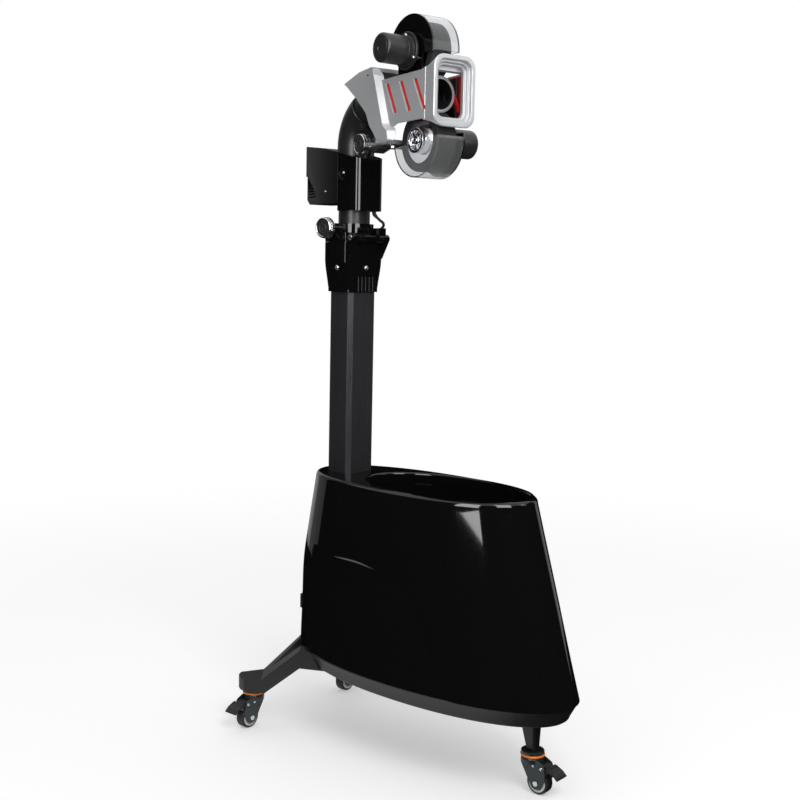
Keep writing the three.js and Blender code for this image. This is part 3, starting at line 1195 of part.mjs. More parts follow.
// Motor plate: a disc over the wheel's side with a tongue into the housing
function buildMotorPlate(w) {
  const s = w.side;
  const [from, to] = [s * guard.plateInner, s * guard.plateOuter].sort((p, q) => p - q);
  const rise = s < 0 ? -1 : 1;
  const edge = s < 0 ? guard.upperTongue : guard.lowerTongue;
  const limit = s < 0 ? guard.upperLimit : guard.lowerLimit;
  const span = guard.outerRadius + overrun;
  const [tongueLow, tongueHigh] = [limit - rise * bite, edge].sort((p, q) => p - q);
  const tongue = block(from, to, -w.forward - guard.tongueHalf, -w.forward + guard.tongueHalf,
    tongueLow, tongueHigh);
  const [knifeLow, knifeHigh] = [limit, limit + rise * 2 * span].sort((p, q) => p - q);
  const disc = cut(rod('x', from, to, guard.outerRadius, [-w.forward, w.z], facets.wheel),
    block(from - bite, to + bite, -w.forward - span, -w.forward + span, knifeLow, knifeHigh));
  return cut(join(disc, tongue), rod('x', from - overrun, to + overrun, guard.shaftHole,
    [-w.forward, w.z], facets.medium));
}

// Half drum over a wheel, closed on the side away from the motor
function buildGuard(w, cutAngle, cutForward, cutZ, keepAbove) {
  const g = guard;
  const s = -w.side;
  const profile = [
    [g.outerRadius - g.wall, g.plateInner - gap], [g.outerRadius, g.plateInner - gap],
    [g.outerRadius, g.halfWidth], [g.hubHole, g.halfWidth], [g.hubHole, g.halfWidth - g.disc],
    [g.outerRadius - g.wall, g.halfWidth - g.disc], [g.outerRadius - g.wall, g.plateInner - gap]];
  const shifted = profile.map(([r, d]) => [r, s * (d === g.plateInner - gap ? -d : d)]);
  const drum = turned('x', shifted, [-w.forward, w.z], facets.wheel);
  const size = 2 * g.outerRadius + overrun;
  const knife = block(-size, size, -size, size, keepAbove ? -size : 0, keepAbove ? 0 : size);
  knife.rotateX(cutAngle).translate(0, -cutForward, cutZ);
  return cut(drum, knife);
}

function buildHub(w) {
  const s = -w.side;
  const half = wheel.width / 2 - wheel.hubInset;
  const tyreSeat = wheel.radius - wheel.tyreDepth - gap;
  const profile = [
    [0, wheel.shaftStop], [0, wheel.bossFace], [wheel.bossRadius, wheel.bossFace],
    [wheel.bossRadius, wheel.dishFace],
    [wheel.ringInner, wheel.dishFace], [wheel.ringInner, wheel.hubReach], [wheel.hubRing, wheel.hubReach],
    [wheel.hubRing, half], [tyreSeat, half], [tyreSeat, -half], [motor.shaftRadius + gap, -half],
    [motor.shaftRadius + gap, wheel.shaftStop], [0, wheel.shaftStop]].map(([r, d]) => [r, s * d]);
  return turned('x', profile, [-w.forward, w.z], facets.tyre);
}

function buildTyre(w) {
  const half = wheel.width / 2;
  const inner = wheel.radius - wheel.tyreDepth;
  return turned('x', [
    [inner, -half], [wheel.radius - wheel.tyreBevel, -half], [wheel.radius, -half + wheel.tyreBevel],
    [wheel.radius, half - wheel.tyreBevel], [wheel.radius - wheel.tyreBevel, half], [inner, half],
    [inner, -half]],
  [-w.forward, w.z], facets.tyre);
}

// Assembly

addBase('chassis_pan', buildChassis(), finishes.satin);
addBase('rear_right_leg', buildRearLeg(-1), finishes.satin);
addBase('rear_left_leg', buildRearLeg(1), finishes.satin);
addBase('front_leg', buildFrontLeg(), finishes.satin);
addCasters();
addBase('hopper_shell', buildShell(), finishes.gloss);
addBase('ball_tub', buildTub(), finishes.moulded);
addBase('feed_elbow', cut(feedBend(feed.outerRadius, 0), feedBend(ballBore / 2, overrun)), finishes.moulded);
addBase('column_foot', buildColumnFoot(), finishes.satin);
addBase('column', buildColumn(), finishes.anodised);
addBase('pickup_motor', buildPickupMotor(), finishes.satin);
addBase('pickup_disc', buildPickupDisc(), finishes.white);
addBase('power_supply', block(-powerSupply.halfWidth, powerSupply.halfWidth, supplyFront,
  supplyFront + powerSupply.length, chassis.bottom + chassis.floor + gap, powerSupply.top), finishes.moulded);
addBase('power_inlet', buildPowerInlet(), finishes.moulded);
addBase('power_switch', buildRocker(), finishes.red);
addBase('clamp_casting', buildClamp(), finishes.gloss);
addBase('hinge_pin', buildHingePin(), finishes.steel);
addBase('mast_flange', buildFlange(), finishes.gloss);
addBase('mast_knob', buildKnob(mastKnob.face, knob.shaftRadius, -mast.outerRadius - 2 * gap,
  [0, mastKnob.z]), finishes.chrome);
addMast('mast_tube', buildMastTube(), finishes.moulded);
addMast('control_housing', buildControlHousing(), finishes.moulded);
addMast('control_cover', buildControlCover(), finishes.gloss);
addBase('cable_lead', buildLead(), finishes.rubber);
addMast('elbow', buildElbow(), finishes.moulded);
addMast('tilt_bolt', buildTiltBolt(), finishes.steel);
addMast('tilt_knob', buildKnob(tiltKnob.face, knob.shaftRadius + gap, -tiltKnob.face + tiltKnob.capWall,
  [-tilt.forward, tilt.z]), finishes.chrome);
addMast('tilt_bracket', buildTiltBracket(), finishes.steel);
addMast('head_housing', buildHeadHousing(), finishes.silver);
addMast('insert_right', buildInsert(-1), finishes.red);
addMast('insert_left', buildInsert(1), finishes.red);
addMast('liner_right', buildLiner(-1), finishes.moulded);
addMast('liner_left', buildLiner(1), finishes.moulded);
addMast('outlet_tube', buildOutletTube(), finishes.moulded);
addMast('upper_motor', buildMotor(upperWheel), finishes.moulded);
addMast('lower_motor', buildMotor(lowerWheel), finishes.moulded);
addMast('upper_motor_plate', buildMotorPlate(upperWheel), finishes.gloss);
addMast('lower_motor_plate', buildMotorPlate(lowerWheel), finishes.gloss);
addMast('upper_guard', buildGuard(upperWheel, 0, upperWheel.forward, guard.upperCutZ, true), finishes.clear);
addMast('lower_guard', buildGuard(lowerWheel, guard.lowerCutAngle, guard.lowerCutForward,
  guard.lowerCutZ, false), finishes.clear);
addMast('upper_wheel_hub', buildHub(upperWheel), finishes.chrome);
addMast('lower_wheel_hub', buildHub(lowerWheel), finishes.chrome);
addMast('upper_wheel_tyre', buildTyre(upperWheel), finishes.rubber);
addMast('lower_wheel_tyre', buildTyre(lowerWheel), finishes.rubber);

// Stand the robot on the floor with the middle of its bounding box over the origin
robot.updateMatrixWorld(true);
const bounds = new THREE.Box3().setFromObject(robot, true);
const middle = bounds.getCenter(new THREE.Vector3());
for (const mesh of robot.children) mesh.geometry.translate(-middle.x, -middle.y, -bounds.min.z);

export default robot;
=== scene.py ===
# Floor-standing table tennis robot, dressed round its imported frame. Mesh code
# works in millimetres in the frame of the column's axis: x to the robot's left,
# -y the way it throws, z up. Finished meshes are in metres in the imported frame.
import json
import math

import bmesh
import bpy
from mathutils import Matrix, Vector
from mathutils.bvhtree import BVHTree


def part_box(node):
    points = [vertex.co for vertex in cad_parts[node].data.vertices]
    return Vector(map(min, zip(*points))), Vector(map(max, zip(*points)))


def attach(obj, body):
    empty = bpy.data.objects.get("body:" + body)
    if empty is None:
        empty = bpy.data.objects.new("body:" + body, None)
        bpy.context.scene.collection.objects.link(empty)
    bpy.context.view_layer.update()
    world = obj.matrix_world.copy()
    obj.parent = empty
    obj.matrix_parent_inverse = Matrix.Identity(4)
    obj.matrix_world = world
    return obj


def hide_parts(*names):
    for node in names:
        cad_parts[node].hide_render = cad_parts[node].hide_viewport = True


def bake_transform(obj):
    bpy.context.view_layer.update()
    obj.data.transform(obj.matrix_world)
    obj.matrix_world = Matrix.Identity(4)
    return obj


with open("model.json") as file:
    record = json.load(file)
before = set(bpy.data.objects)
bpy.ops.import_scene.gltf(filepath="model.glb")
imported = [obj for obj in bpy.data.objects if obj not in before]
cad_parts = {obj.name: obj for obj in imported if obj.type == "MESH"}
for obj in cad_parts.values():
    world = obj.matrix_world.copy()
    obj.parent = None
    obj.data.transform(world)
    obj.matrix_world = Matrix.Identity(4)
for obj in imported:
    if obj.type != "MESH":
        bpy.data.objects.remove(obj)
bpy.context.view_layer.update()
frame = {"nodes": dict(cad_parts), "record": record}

scene = bpy.context.scene
mm = 0.001
column_low, column_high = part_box("column")
column_axis = (column_low + column_high) / 2
bodies = frame["record"]["behaviour"]["bodies"]
node_body = {node: body for body, members in bodies.items() for node in members}


# Camera. It stands about two metres off the robot's right front corner, near
# the height of the control box, with a short telephoto lens and a slight roll.
camera_turn = math.radians(-50)
camera_dip = math.radians(6.65)
camera_roll = math.radians(1.2)
camera_reach = 1.920
camera_aim = Vector((column_axis.x, column_axis.y, 0.720))
aim_pixel = (353, 291)
photo_side = 800
sensor = 36
lens = 54


def new_object(name, data):
    thing = bpy.data.objects.new(name, data)
    scene.collection.objects.link(thing)
    return thing


def add_camera():
    focal = lens / sensor * photo_side
    ahead = Vector((-math.sin(camera_turn) * math.cos(camera_dip),
                    math.cos(camera_turn) * math.cos(camera_dip), -math.sin(camera_dip)))
    level = Vector((math.cos(camera_turn), math.sin(camera_turn), 0))
    rise = level.cross(ahead)
    right = level * math.cos(camera_roll) + rise * math.sin(camera_roll)
    up = rise * math.cos(camera_roll) - level * math.sin(camera_roll)
    across = (aim_pixel[0] - photo_side / 2) / focal * camera_reach
    above = (photo_side / 2 - aim_pixel[1]) / focal * camera_reach
    place = camera_aim - ahead * camera_reach - right * across - up * above
    data = bpy.data.cameras.new("camera")
    data.sensor_width = sensor
    data.lens = lens
    camera = new_object("camera", data)
    turn = Matrix((right, up, -ahead)).transposed()
    camera.matrix_world = Matrix.Translation(place) @ turn.to_4x4()
    scene.camera = camera


add_camera()


# Cable lead. A short black signal cord drops from the floor of the control
# cover, loops forward and goes down a hole in the fold flange. A moulded sleeve
# stiffens its first centimetre, and its slack takes up the mast's turn.
lead_route = [
    (7, -36, 845.4), (7.4, -36.3, 841), (14, -41, 833), (21, -43, 828),
    (25.5, -39, 822.5), (25.5, -32, 818), (23, -26.5, 815), (22, -24.6, 811)]
lead_radius = 2.2
sleeve_radius = 3.2
sleeve_sides = 28
sleeve_steps = 12
sleeve_rows = 19
sleeve_groove = 0.35
sleeve_taper = 0.18
taper_from = 14
mast_yaw = math.radians(-14)
patch_size = 70
grain_depth = 0.2


def base_place():
    shift = Matrix.Translation(Vector((column_axis.x, column_axis.y, 0)))
    return shift @ Matrix.Scale(mm, 4)


def mast_place():
    return base_place() @ Matrix.Rotation(mast_yaw, 4, "Z")


def maths(tree, operation, *values):
    """The outcome of a maths node on other sockets or plain numbers."""
    node = tree.nodes.new("ShaderNodeMath")
    node.operation = operation
    for socket, value in zip(node.inputs, values):
        if isinstance(value, bpy.types.NodeSocket):
            tree.links.new(value, socket)
        else:
            socket.default_value = value
    return node.outputs[0]


def surface(name, colour, rough, metal=0.0, grain=0.15, grain_size=0.8, bump=0.06,
            tint=0.08, stretch=(1, 1, 1), **shader):
    """A finish whose tone drifts in soft patches and whose fine grain sets roughness and relief."""
    material = bpy.data.materials.new(name)
    material.use_nodes = True
    nodes = material.node_tree.nodes
    links = material.node_tree.links
    principled = nodes["Principled BSDF"]
    where = nodes.new("ShaderNodeTexCoord")
    drawn = nodes.new("ShaderNodeMapping")
    drawn.inputs["Scale"].default_value = stretch
    links.new(where.outputs["Object"], drawn.inputs["Vector"])
    fine = nodes.new("ShaderNodeTexNoise")
    fine.inputs["Scale"].default_value = 1 / (grain_size * mm)
    fine.inputs["Detail"].default_value = 3
    links.new(drawn.outputs["Vector"], fine.inputs["Vector"])
    soft = nodes.new("ShaderNodeTexNoise")
    soft.inputs["Scale"].default_value = 1 / (patch_size * mm)
    links.new(drawn.outputs["Vector"], soft.inputs["Vector"])
    half = maths(material.node_tree, "MULTIPLY", soft.outputs["Fac"], 0.5)
    both = maths(material.node_tree, "MULTIPLY_ADD", fine.outputs["Fac"], 0.5, half)
    tone = nodes.new("ShaderNodeMix")
    tone.data_type = "RGBA"
    tone.inputs["A"].default_value = [c * (1 - tint) for c in colour] + [1]
    tone.inputs["B"].default_value = [min(1, c * (1 + tint)) for c in colour] + [1]
    links.new(both, tone.inputs["Factor"])
    links.new(tone.outputs["Result"], principled.inputs["Base Color"])
    spread = nodes.new("ShaderNodeMapRange")
    spread.inputs["From Min"].default_value = 0.3
    spread.inputs["From Max"].default_value = 0.7
    spread.inputs["To Min"].default_value = rough * (1 - grain)
    spread.inputs["To Max"].default_value = min(1, rough * (1 + grain))
    links.new(fine.outputs["Fac"], spread.inputs["Value"])
    links.new(spread.outputs["Result"], principled.inputs["Roughness"])
    if bump > 0:
        relief = nodes.new("ShaderNodeBump")
        relief.inputs["Strength"].default_value = bump
        relief.inputs["Distance"].default_value = grain_depth * mm
        links.new(fine.outputs["Fac"], relief.inputs["Height"])
        links.new(relief.outputs["Normal"], principled.inputs["Normal"])
    principled.inputs["Metallic"].default_value = metal
    for socket, value in shader.items():
        principled.inputs[socket.replace("_", " ")].default_value = value
    return material


rubber = surface("rubber_black", (0.012, 0.012, 0.013), 0.62, grain_size=0.6, bump=0.15)


def dress(piece, material, slot, *nodes, body=None):
    """Gives a finished piece its material, its body and the nodes it stands for; the slot is not used."""
    if not piece.data.materials:
        piece.data.materials.append(material)
    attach(piece, body or node_body[nodes[0]])
    if nodes:
        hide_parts(*nodes)
    return piece


def make(name, points, faces):
    mesh = bpy.data.meshes.new(name)
    mesh.from_pydata([tuple(p) for p in points], [], faces)
    return new_object(name, mesh)


def settle(piece, near=1e-3):
    """Merges coincident points and turns all faces outward."""
    work = bmesh.new()
    work.from_mesh(piece.data)
    bmesh.ops.remove_doubles(work, verts=work.verts, dist=near)
    bmesh.ops.dissolve_degenerate(work, dist=near / 10, edges=work.edges)
    bmesh.ops.recalc_face_normals(work, faces=work.faces)
    work.to_mesh(piece.data)
    work.free()
    return piece


def loft(name, rings, closed=False):
    """A skin over rings of equal counts, joined end to end or capped."""
    count = len(rings[0])
    points = [p for ring in rings for p in ring]
    faces = []
    for r in range(len(rings) if closed else len(rings) - 1):
        a = r * count
        b = (r + 1) % len(rings) * count
        for k in range(count):
            n = (k + 1) % count
            faces.append((a + k, a + n, b + n, b + k))
    if not closed:
        faces.append(tuple(range(count)))
        faces.append(tuple(range(len(points) - count, len(points))))
    return settle(make(name, points, faces))


def shade(piece, limit=32):
    """Smooth shading, with creases where faces meet at more than a limit in degrees."""
    work = bmesh.new()
    work.from_mesh(piece.data)
    crease = math.radians(limit)
    for face in work.faces:
        face.smooth = True
    for edge in work.edges:
        edge.smooth = len(edge.link_faces) == 2 and edge.calc_face_angle(0) < crease
    work.to_mesh(piece.data)
    work.free()
    return piece


def put(piece, place):
    piece.data.transform(place)
    piece.data.update()
    return piece


def spline_points(points, steps):
    """Points along a smooth curve through the given ones."""
    given = [Vector(p) for p in points]
    padded = [2 * given[0] - given[1], *given, 2 * given[-1] - given[-2]]
    found = []
    for i in range(1, len(padded) - 2):
        a, b, c, d = padded[i - 1:i + 3]
        for k in range(steps):
            t = k / steps
            found.append((2 * b + (c - a) * t + (2 * a - 5 * b + 4 * c - d) * t ** 2
                          + (3 * b - a - 3 * c + d) * t ** 3) / 2)
    return found + [given[-1]]


def add_lead():
    path = [base_place() @ p for p in spline_points(lead_route, 4)]
    data = bpy.data.curves.new("cable_line", "CURVE")
    data.dimensions = "3D"
    data.bevel_depth = lead_radius * mm
    data.bevel_resolution = 6
    data.use_fill_caps = True
    line = data.splines.new("POLY")
    line.points.add(len(path) - 1)
    for point, p in zip(line.points, path):
        point.co = (*p, 1)
    curve = new_object("cable_line", data)
    mesh = bpy.data.meshes.new_from_object(curve.evaluated_get(bpy.context.evaluated_depsgraph_get()))
    bpy.data.objects.remove(curve)
    mesh.name = "cable_cord"
    cord = new_object("cable_cord", mesh)
    shade(cord, 50)
    mesh.materials.clear()
    mesh.materials.append(rubber)
    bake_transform(cord)
    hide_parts("cable_lead")
    sleeve = loft("cable_sleeve", sleeve_rings())
    put(shade(sleeve), base_place())
    dress(sleeve, rubber, "rubber", body="mast")


def sleeve_rings():
    """The sleeve follows the cord's first stretch, with ribs, and tapers at its end."""
    line = spline_points(lead_route, sleeve_steps)[:sleeve_rows]
    rings = []
    for i, centre in enumerate(line):
        ahead = (line[min(i + 1, len(line) - 1)] - line[max(i - 1, 0)]).normalized()
        side = ahead.cross(Vector((0, 1, 0))).normalized()
        other = ahead.cross(side)
        swell = sleeve_radius - max(0, i - taper_from) * sleeve_taper
        if i % 4 == 3:
            swell -= sleeve_groove
        rings.append([centre + (side * math.cos(a) + other * math.sin(a)) * swell
                      for a in (2 * math.pi * k / sleeve_sides for k in range(sleeve_sides))])
    return rings


add_lead()


# Chassis pan. A deep oval tray pressed in steel and powder coated satin grey;
# the hopper stands on its rim and the three legs are bolted to its underside.
pan_bottom = 115
pan_top = 141.7
pan_foot = (100, 245, -178)
pan_rim = (110, 257.5, -177)
pan_wall = 4
pan_round = 5
oval_power = 2.12
oval_count = 320

satin_grey = surface("satin_grey", (0.009, 0.009, 0.0105), 0.46, grain_size=0.5, bump=0.10)


def oval_point(k, half_width, half_length, centre, z, power=oval_power):
    angle = 2 * math.pi * k / oval_count
    c = math.cos(angle)
    s = math.sin(angle)
    return Vector((half_width * math.copysign(abs(c) ** (2 / power), c),
                   centre + half_length * math.copysign(abs(s) ** (2 / power), s), z))


def grown_oval(size, inset, z, power=oval_power):
    """A ring of (half width, half length, centre), moved inward."""
    half_width, half_length, centre = size
    return [oval_point(k, half_width - inset, half_length - inset, centre, z, power)
            for k in range(oval_count)]


def add_pan():
    rings = []
    for k in range(7):
        angle = math.pi / 2 * k / 6
        inset = pan_round * (1 - math.sin(angle))
        rings.append(grown_oval(pan_foot, inset, pan_bottom + pan_round * (1 - math.cos(angle))))
    rings.append(grown_oval(pan_rim, 0, pan_top - 1))
    rings.append(grown_oval(pan_rim, 1, pan_top))
    rings.append(grown_oval(pan_rim, pan_wall, pan_top))
    rings.append(grown_oval(pan_foot, pan_wall + 1, pan_bottom + pan_wall + 2))
    rings.append(grown_oval(pan_foot, pan_wall + 4, pan_bottom + pan_wall))
    pan = loft("pan", rings)
    put(shade(pan), base_place())
    dress(pan, satin_grey, "satin_grey", "chassis_pan")


add_pan()


# Legs. Two V-shaped arms and one straight leg, cast in aluminium and powder
# coated like the pan, each bolted up into it and bored for its caster's stud.
leg_round = 1.4
node_near = 0.02 * mm
flat_angle = math.radians(0.6)


def bake(piece):
    """Replaces a piece's mesh with the outcome of its modifiers."""
    bpy.context.view_layer.update()
    view = bpy.context.evaluated_depsgraph_get()
    piece.data = bpy.data.meshes.new_from_object(piece.evaluated_get(view))
    piece.modifiers.clear()
    return piece


def soften(piece, width, steps=3, limit=30, clamp=True, near=1e-3):
    """Rounds every edge sharper than a limit, keeps the broad faces flat, and draws any
    corner that the rounding threw out back to the surface."""
    work = bmesh.new()
    work.from_mesh(piece.data)
    bmesh.ops.remove_doubles(work, verts=work.verts, dist=near)
    bmesh.ops.dissolve_limit(work, angle_limit=flat_angle, verts=work.verts, edges=work.edges)
    skin = BVHTree.FromBMesh(work)
    work.to_mesh(piece.data)
    work.free()
    edge = piece.modifiers.new("edge", "BEVEL")
    edge.width = width
    edge.segments = steps
    edge.limit_method = "ANGLE"
    edge.angle_limit = math.radians(limit)
    edge.use_clamp_overlap = clamp
    edge.miter_outer = "MITER_ARC"
    bake(piece)
    for corner in piece.data.vertices:
        spot, _, _, away = skin.find_nearest(corner.co)
        if away > width:
            corner.co = spot
    shade(piece, 40)
    flat = piece.modifiers.new("flat", "WEIGHTED_NORMAL")
    flat.keep_sharp = True
    return bake(piece)


def from_node(name, node):
    """A copy of a node's mesh in metres, with its corners merged."""
    piece = new_object(name, frame["nodes"][node].data.copy())
    piece.data.materials.clear()
    return settle(piece, near=node_near)


def soft_node(name, node, width, material, slot, limit=30):
    """The node's own shape with its edges rounded."""
    piece = from_node(name, node)
    soften(piece, width * mm, limit=limit, near=node_near)
    return dress(piece, material, slot, node)


for leg_name in ("rear_right_leg", "rear_left_leg", "front_leg"):
    soft_node(leg_name + "_casting", leg_name, leg_round, satin_grey, "satin_grey")


# Casters. Three bought-in twin-cheek swivel casters in dark green lacquer, with
# a stud in the same green, zinc rivets, an orange dust ring, a pale nylon core
# with a black tyre, and a ribbed black brake pedal that swings on a pin through the fork.
caster_places = {
    "front": (0, -371, -90), "rear_right": (-105, 112, 180), "rear_left": (105, 112, 0)}
caster_trail = 14
caster_wheel_radius = 18
caster_wheel_half = 8
caster_tread = 4
caster_axle = 3
caster_crown = (45, 54.7, 17)
caster_cheek_inner = 9.5
caster_cheek = 2
cheek_outline = [(-13, 53), (15, 53), (28, 47), (29.5, 26), (22, 10), (8, 9), (1.5, 20), (-13, 45)]
cheek_rounds = [2, 4, 6, 9, 6, 6, 9, 6]
lever_pivot = (22.5, 42.3)
arm_outline = [(22.5, 46.9), (32, 44.6), (32, 38.5), (30.2, 31.6), (26.55, 33.7), (24.5, 38)]
arm_rounds = [1, 2, 2, 1, 1, 1]
paddle_outline = [
    (30.5, 45), (33.5, 45.4), (45, 40.2), (52, 33.8), (50.6, 31.2), (43.6, 37.4), (30.5, 41.6)]
paddle_rounds = [0.8, 1, 4, 1, 0.8, 4, 1]
paddle_half = 12
arm_half = 8.8
lever_boss = 4.6
first_rib = (0, 36.2, 44.3)
rib_step = (0, 3.6, -2.35)
tread_round = 2.5
axle_spot = (caster_trail, caster_wheel_radius)
axle_nut = [(0, 0), (4.5, 0), (4.5, 1.4), (3.6, 1.8), (0, 1.8)]
rivet_dome = [(0, 0), (2.6, 0), (2.4, 0.8), (1.4, 1.4), (0, 1.5)]
rivet_spots = [lever_pivot, (9, 44)]
paddle_ribs = 5

steel = surface("zinc_steel", (0.62, 0.63, 0.65), 0.26, 1.0, grain=0.35, grain_size=0.5, bump=0.04)
orange = surface("orange_ring", (0.85, 0.22, 0.012), 0.38, grain_size=0.5, bump=0.03)
caster_green = surface("caster_green", (0.012, 0.022, 0.024), 0.30, grain_size=0.5, bump=0.05)
black_plastic = surface("black_plastic", (0.017, 0.017, 0.018), 0.46, grain_size=0.35, bump=0.16)
white_plastic = surface("white_plastic", (0.72, 0.73, 0.73), 0.36, grain_size=0.7, bump=0.03)


def rectangle(low_u, low_v, high_u, high_v):
    return [(low_u, low_v), (high_u, low_v), (high_u, high_v), (low_u, high_v)]


def rounded(points, radii, steps=5):
    """The outline with each corner turned into an arc."""
    found = []
    count = len(points)
    for k, (p, radius) in enumerate(zip(points, radii)):
        corner = Vector(p)
        before = Vector(points[k - 1]) - corner
        after = Vector(points[(k + 1) % count]) - corner
        half = before.angle(after) / 2
        reach = min(radius / math.tan(half), 0.49 * before.length, 0.49 * after.length)
        radius = reach * math.tan(half)
        centre = corner + (before.normalized() + after.normalized()).normalized() * radius / math.sin(half)
        start = corner + before.normalized() * reach - centre
        end = corner + after.normalized() * reach - centre
        sweep = start.angle_signed(end)
        for i in range(steps + 1):
            turn = Matrix.Rotation(-sweep * i / steps, 2)
            found.append(tuple(centre + turn @ start))
    return found


def prism(name, axis, outline, low, high):
    """An outline carried along an axis: plan (x, y) along z, or side (forward, z) along x."""
    def corner(p, at):
        return Vector((p[0], p[1], at)) if axis == "z" else Vector((at, -p[0], p[1]))
    return loft(name, [[corner(p, at) for p in outline] for at in (low, high)])


def turned(name, axis, profile, centre=(0, 0), sides=64):
    """A turned piece from (radius, distance along the axis); a profile that ends where it
    starts is a ring, and any other starts and ends on the axis."""
    ring = profile[0] == profile[-1]
    points = profile[:-1] if ring else profile
    rings = []
    for radius, along in points:
        row = []
        for k in range(sides):
            angle = 2 * math.pi * k / sides
            u = centre[0] + radius * math.cos(angle)
            v = centre[1] + radius * math.sin(angle)
            row.append(Vector({"x": (along, u, v), "y": (u, along, v), "z": (u, v, along)}[axis]))
        rings.append(row)
    if ring:
        return loft(name, rings, closed=True)
    count = len(rings)
    faces = [(r * sides + k, r * sides + (k + 1) % sides,
              (r + 1) * sides + (k + 1) % sides, (r + 1) * sides + k)
             for r in range(count - 1) for k in range(sides)]
    return settle(make(name, [p for row in rings for p in row], faces))


def rod(name, axis, start, end, radius, centre=(0, 0), sides=48):
    return turned(name, axis, [(0, start), (radius, start), (radius, end), (0, end)], centre, sides)


def carve(piece, cut=(), add=()):
    """Joins and cuts a piece with others, which are used up."""
    for tools, operation in ((add, "UNION"), (cut, "DIFFERENCE")):
        for tool in tools:
            step = piece.modifiers.new(operation, "BOOLEAN")
            step.operation = operation
            step.object = tool
            step.solver = "EXACT"
    bake(piece)
    for tool in (*add, *cut):
        bpy.data.objects.remove(tool)
    return piece


def caster_cheeks():
    outer = caster_cheek_inner + caster_cheek
    shape = [(-u, z) for u, z in rounded(cheek_outline, cheek_rounds)]
    sides = []
    for name, low, high in (("cheek_a", -outer, -caster_cheek_inner),
                            ("cheek_b", caster_cheek_inner, outer)):
        side = prism(name, "x", shape, low, high)
        put(side, Matrix.Rotation(-math.pi / 2, 4, "Z"))
        sides.append(side)
    return sides


def caster_fork():
    low, high, radius = caster_crown
    crown = turned("fork", "z", [
        (0, low), (radius - 1, low), (radius, low + 1), (radius, high - 3), (radius - 1, high - 1),
        (radius - 3, high), (0, high)], sides=72)
    carve(crown, add=caster_cheeks(), cut=[rod("bore", "z", low - 5, high + 5, 5.0)])
    return soften(crown, 0.5, 2, 40)


def caster_rivets():
    """Axle bolt, its hex heads and the lever pin's rivet heads."""
    outer = caster_cheek_inner + caster_cheek
    bolt = rod("bolts", "y", -outer - 0.5, outer + 0.5, caster_axle, axle_spot, 32)
    parts = []
    for side in (-1, 1):
        nut = [(radius, side * (outer + rise)) for radius, rise in axle_nut]
        parts.append(turned("head", "y", nut, axle_spot, 6))
        dome = [(radius, side * (outer + rise)) for radius, rise in rivet_dome]
        parts += [turned("rivet", "y", dome, spot, 24) for spot in rivet_spots]
    parts.append(rod("pin", "y", -outer, outer, 2, lever_pivot, 24))
    carve(bolt, add=parts)
    return soften(bolt, 0.25, 2, 35)


def caster_stud():
    low = 41.5
    crown = caster_crown[0] - 0.3
    stud = turned("stud", "z", [
        (0, low), (6, low), (6.5, low + 0.5), (6.5, crown), (4.5, crown), (4.5, 58.7), (16.6, 58.7),
        (17.2, 59.3), (17.2, 62.4), (16.6, 63), (0, 63)], sides=72)
    return shade(stud)


def caster_ring():
    ring = turned("ring", "z", [
        (5, 55), (17.4, 55), (18.2, 55.8), (18.2, 57.6), (17.4, 58.4), (5, 58.4), (5, 55)], sides=96)
    return shade(ring, 50)


def caster_core():
    half = caster_wheel_half
    rim = caster_wheel_radius - caster_tread
    hub = 6
    profile = [(caster_axle + 0.5, half), (hub, half), (hub, half - 2.5), (rim - 2.5, half - 2.5),
               (rim - 2.0, half + 0.05), (rim, half + 0.05)]
    mirror = [(r, -h) for r, h in reversed(profile)]
    core = turned("core", "y", profile + mirror + [profile[0]], axle_spot, 96)
    return shade(core)


def caster_tyre():
    half = caster_wheel_half
    inner = caster_wheel_radius - caster_tread + 0.1
    profile = [(inner, -half)]
    for k in range(9):
        angle = math.pi / 2 * k / 8
        profile.append((caster_wheel_radius - tread_round * (1 - math.sin(angle)),
                        -half + tread_round * (1 - math.cos(angle))))
    profile += [(r, -h) for r, h in reversed(profile)]
    tyre = turned("tyre", "y", profile + [profile[0]], axle_spot, 120)
    return shade(tyre, 40)


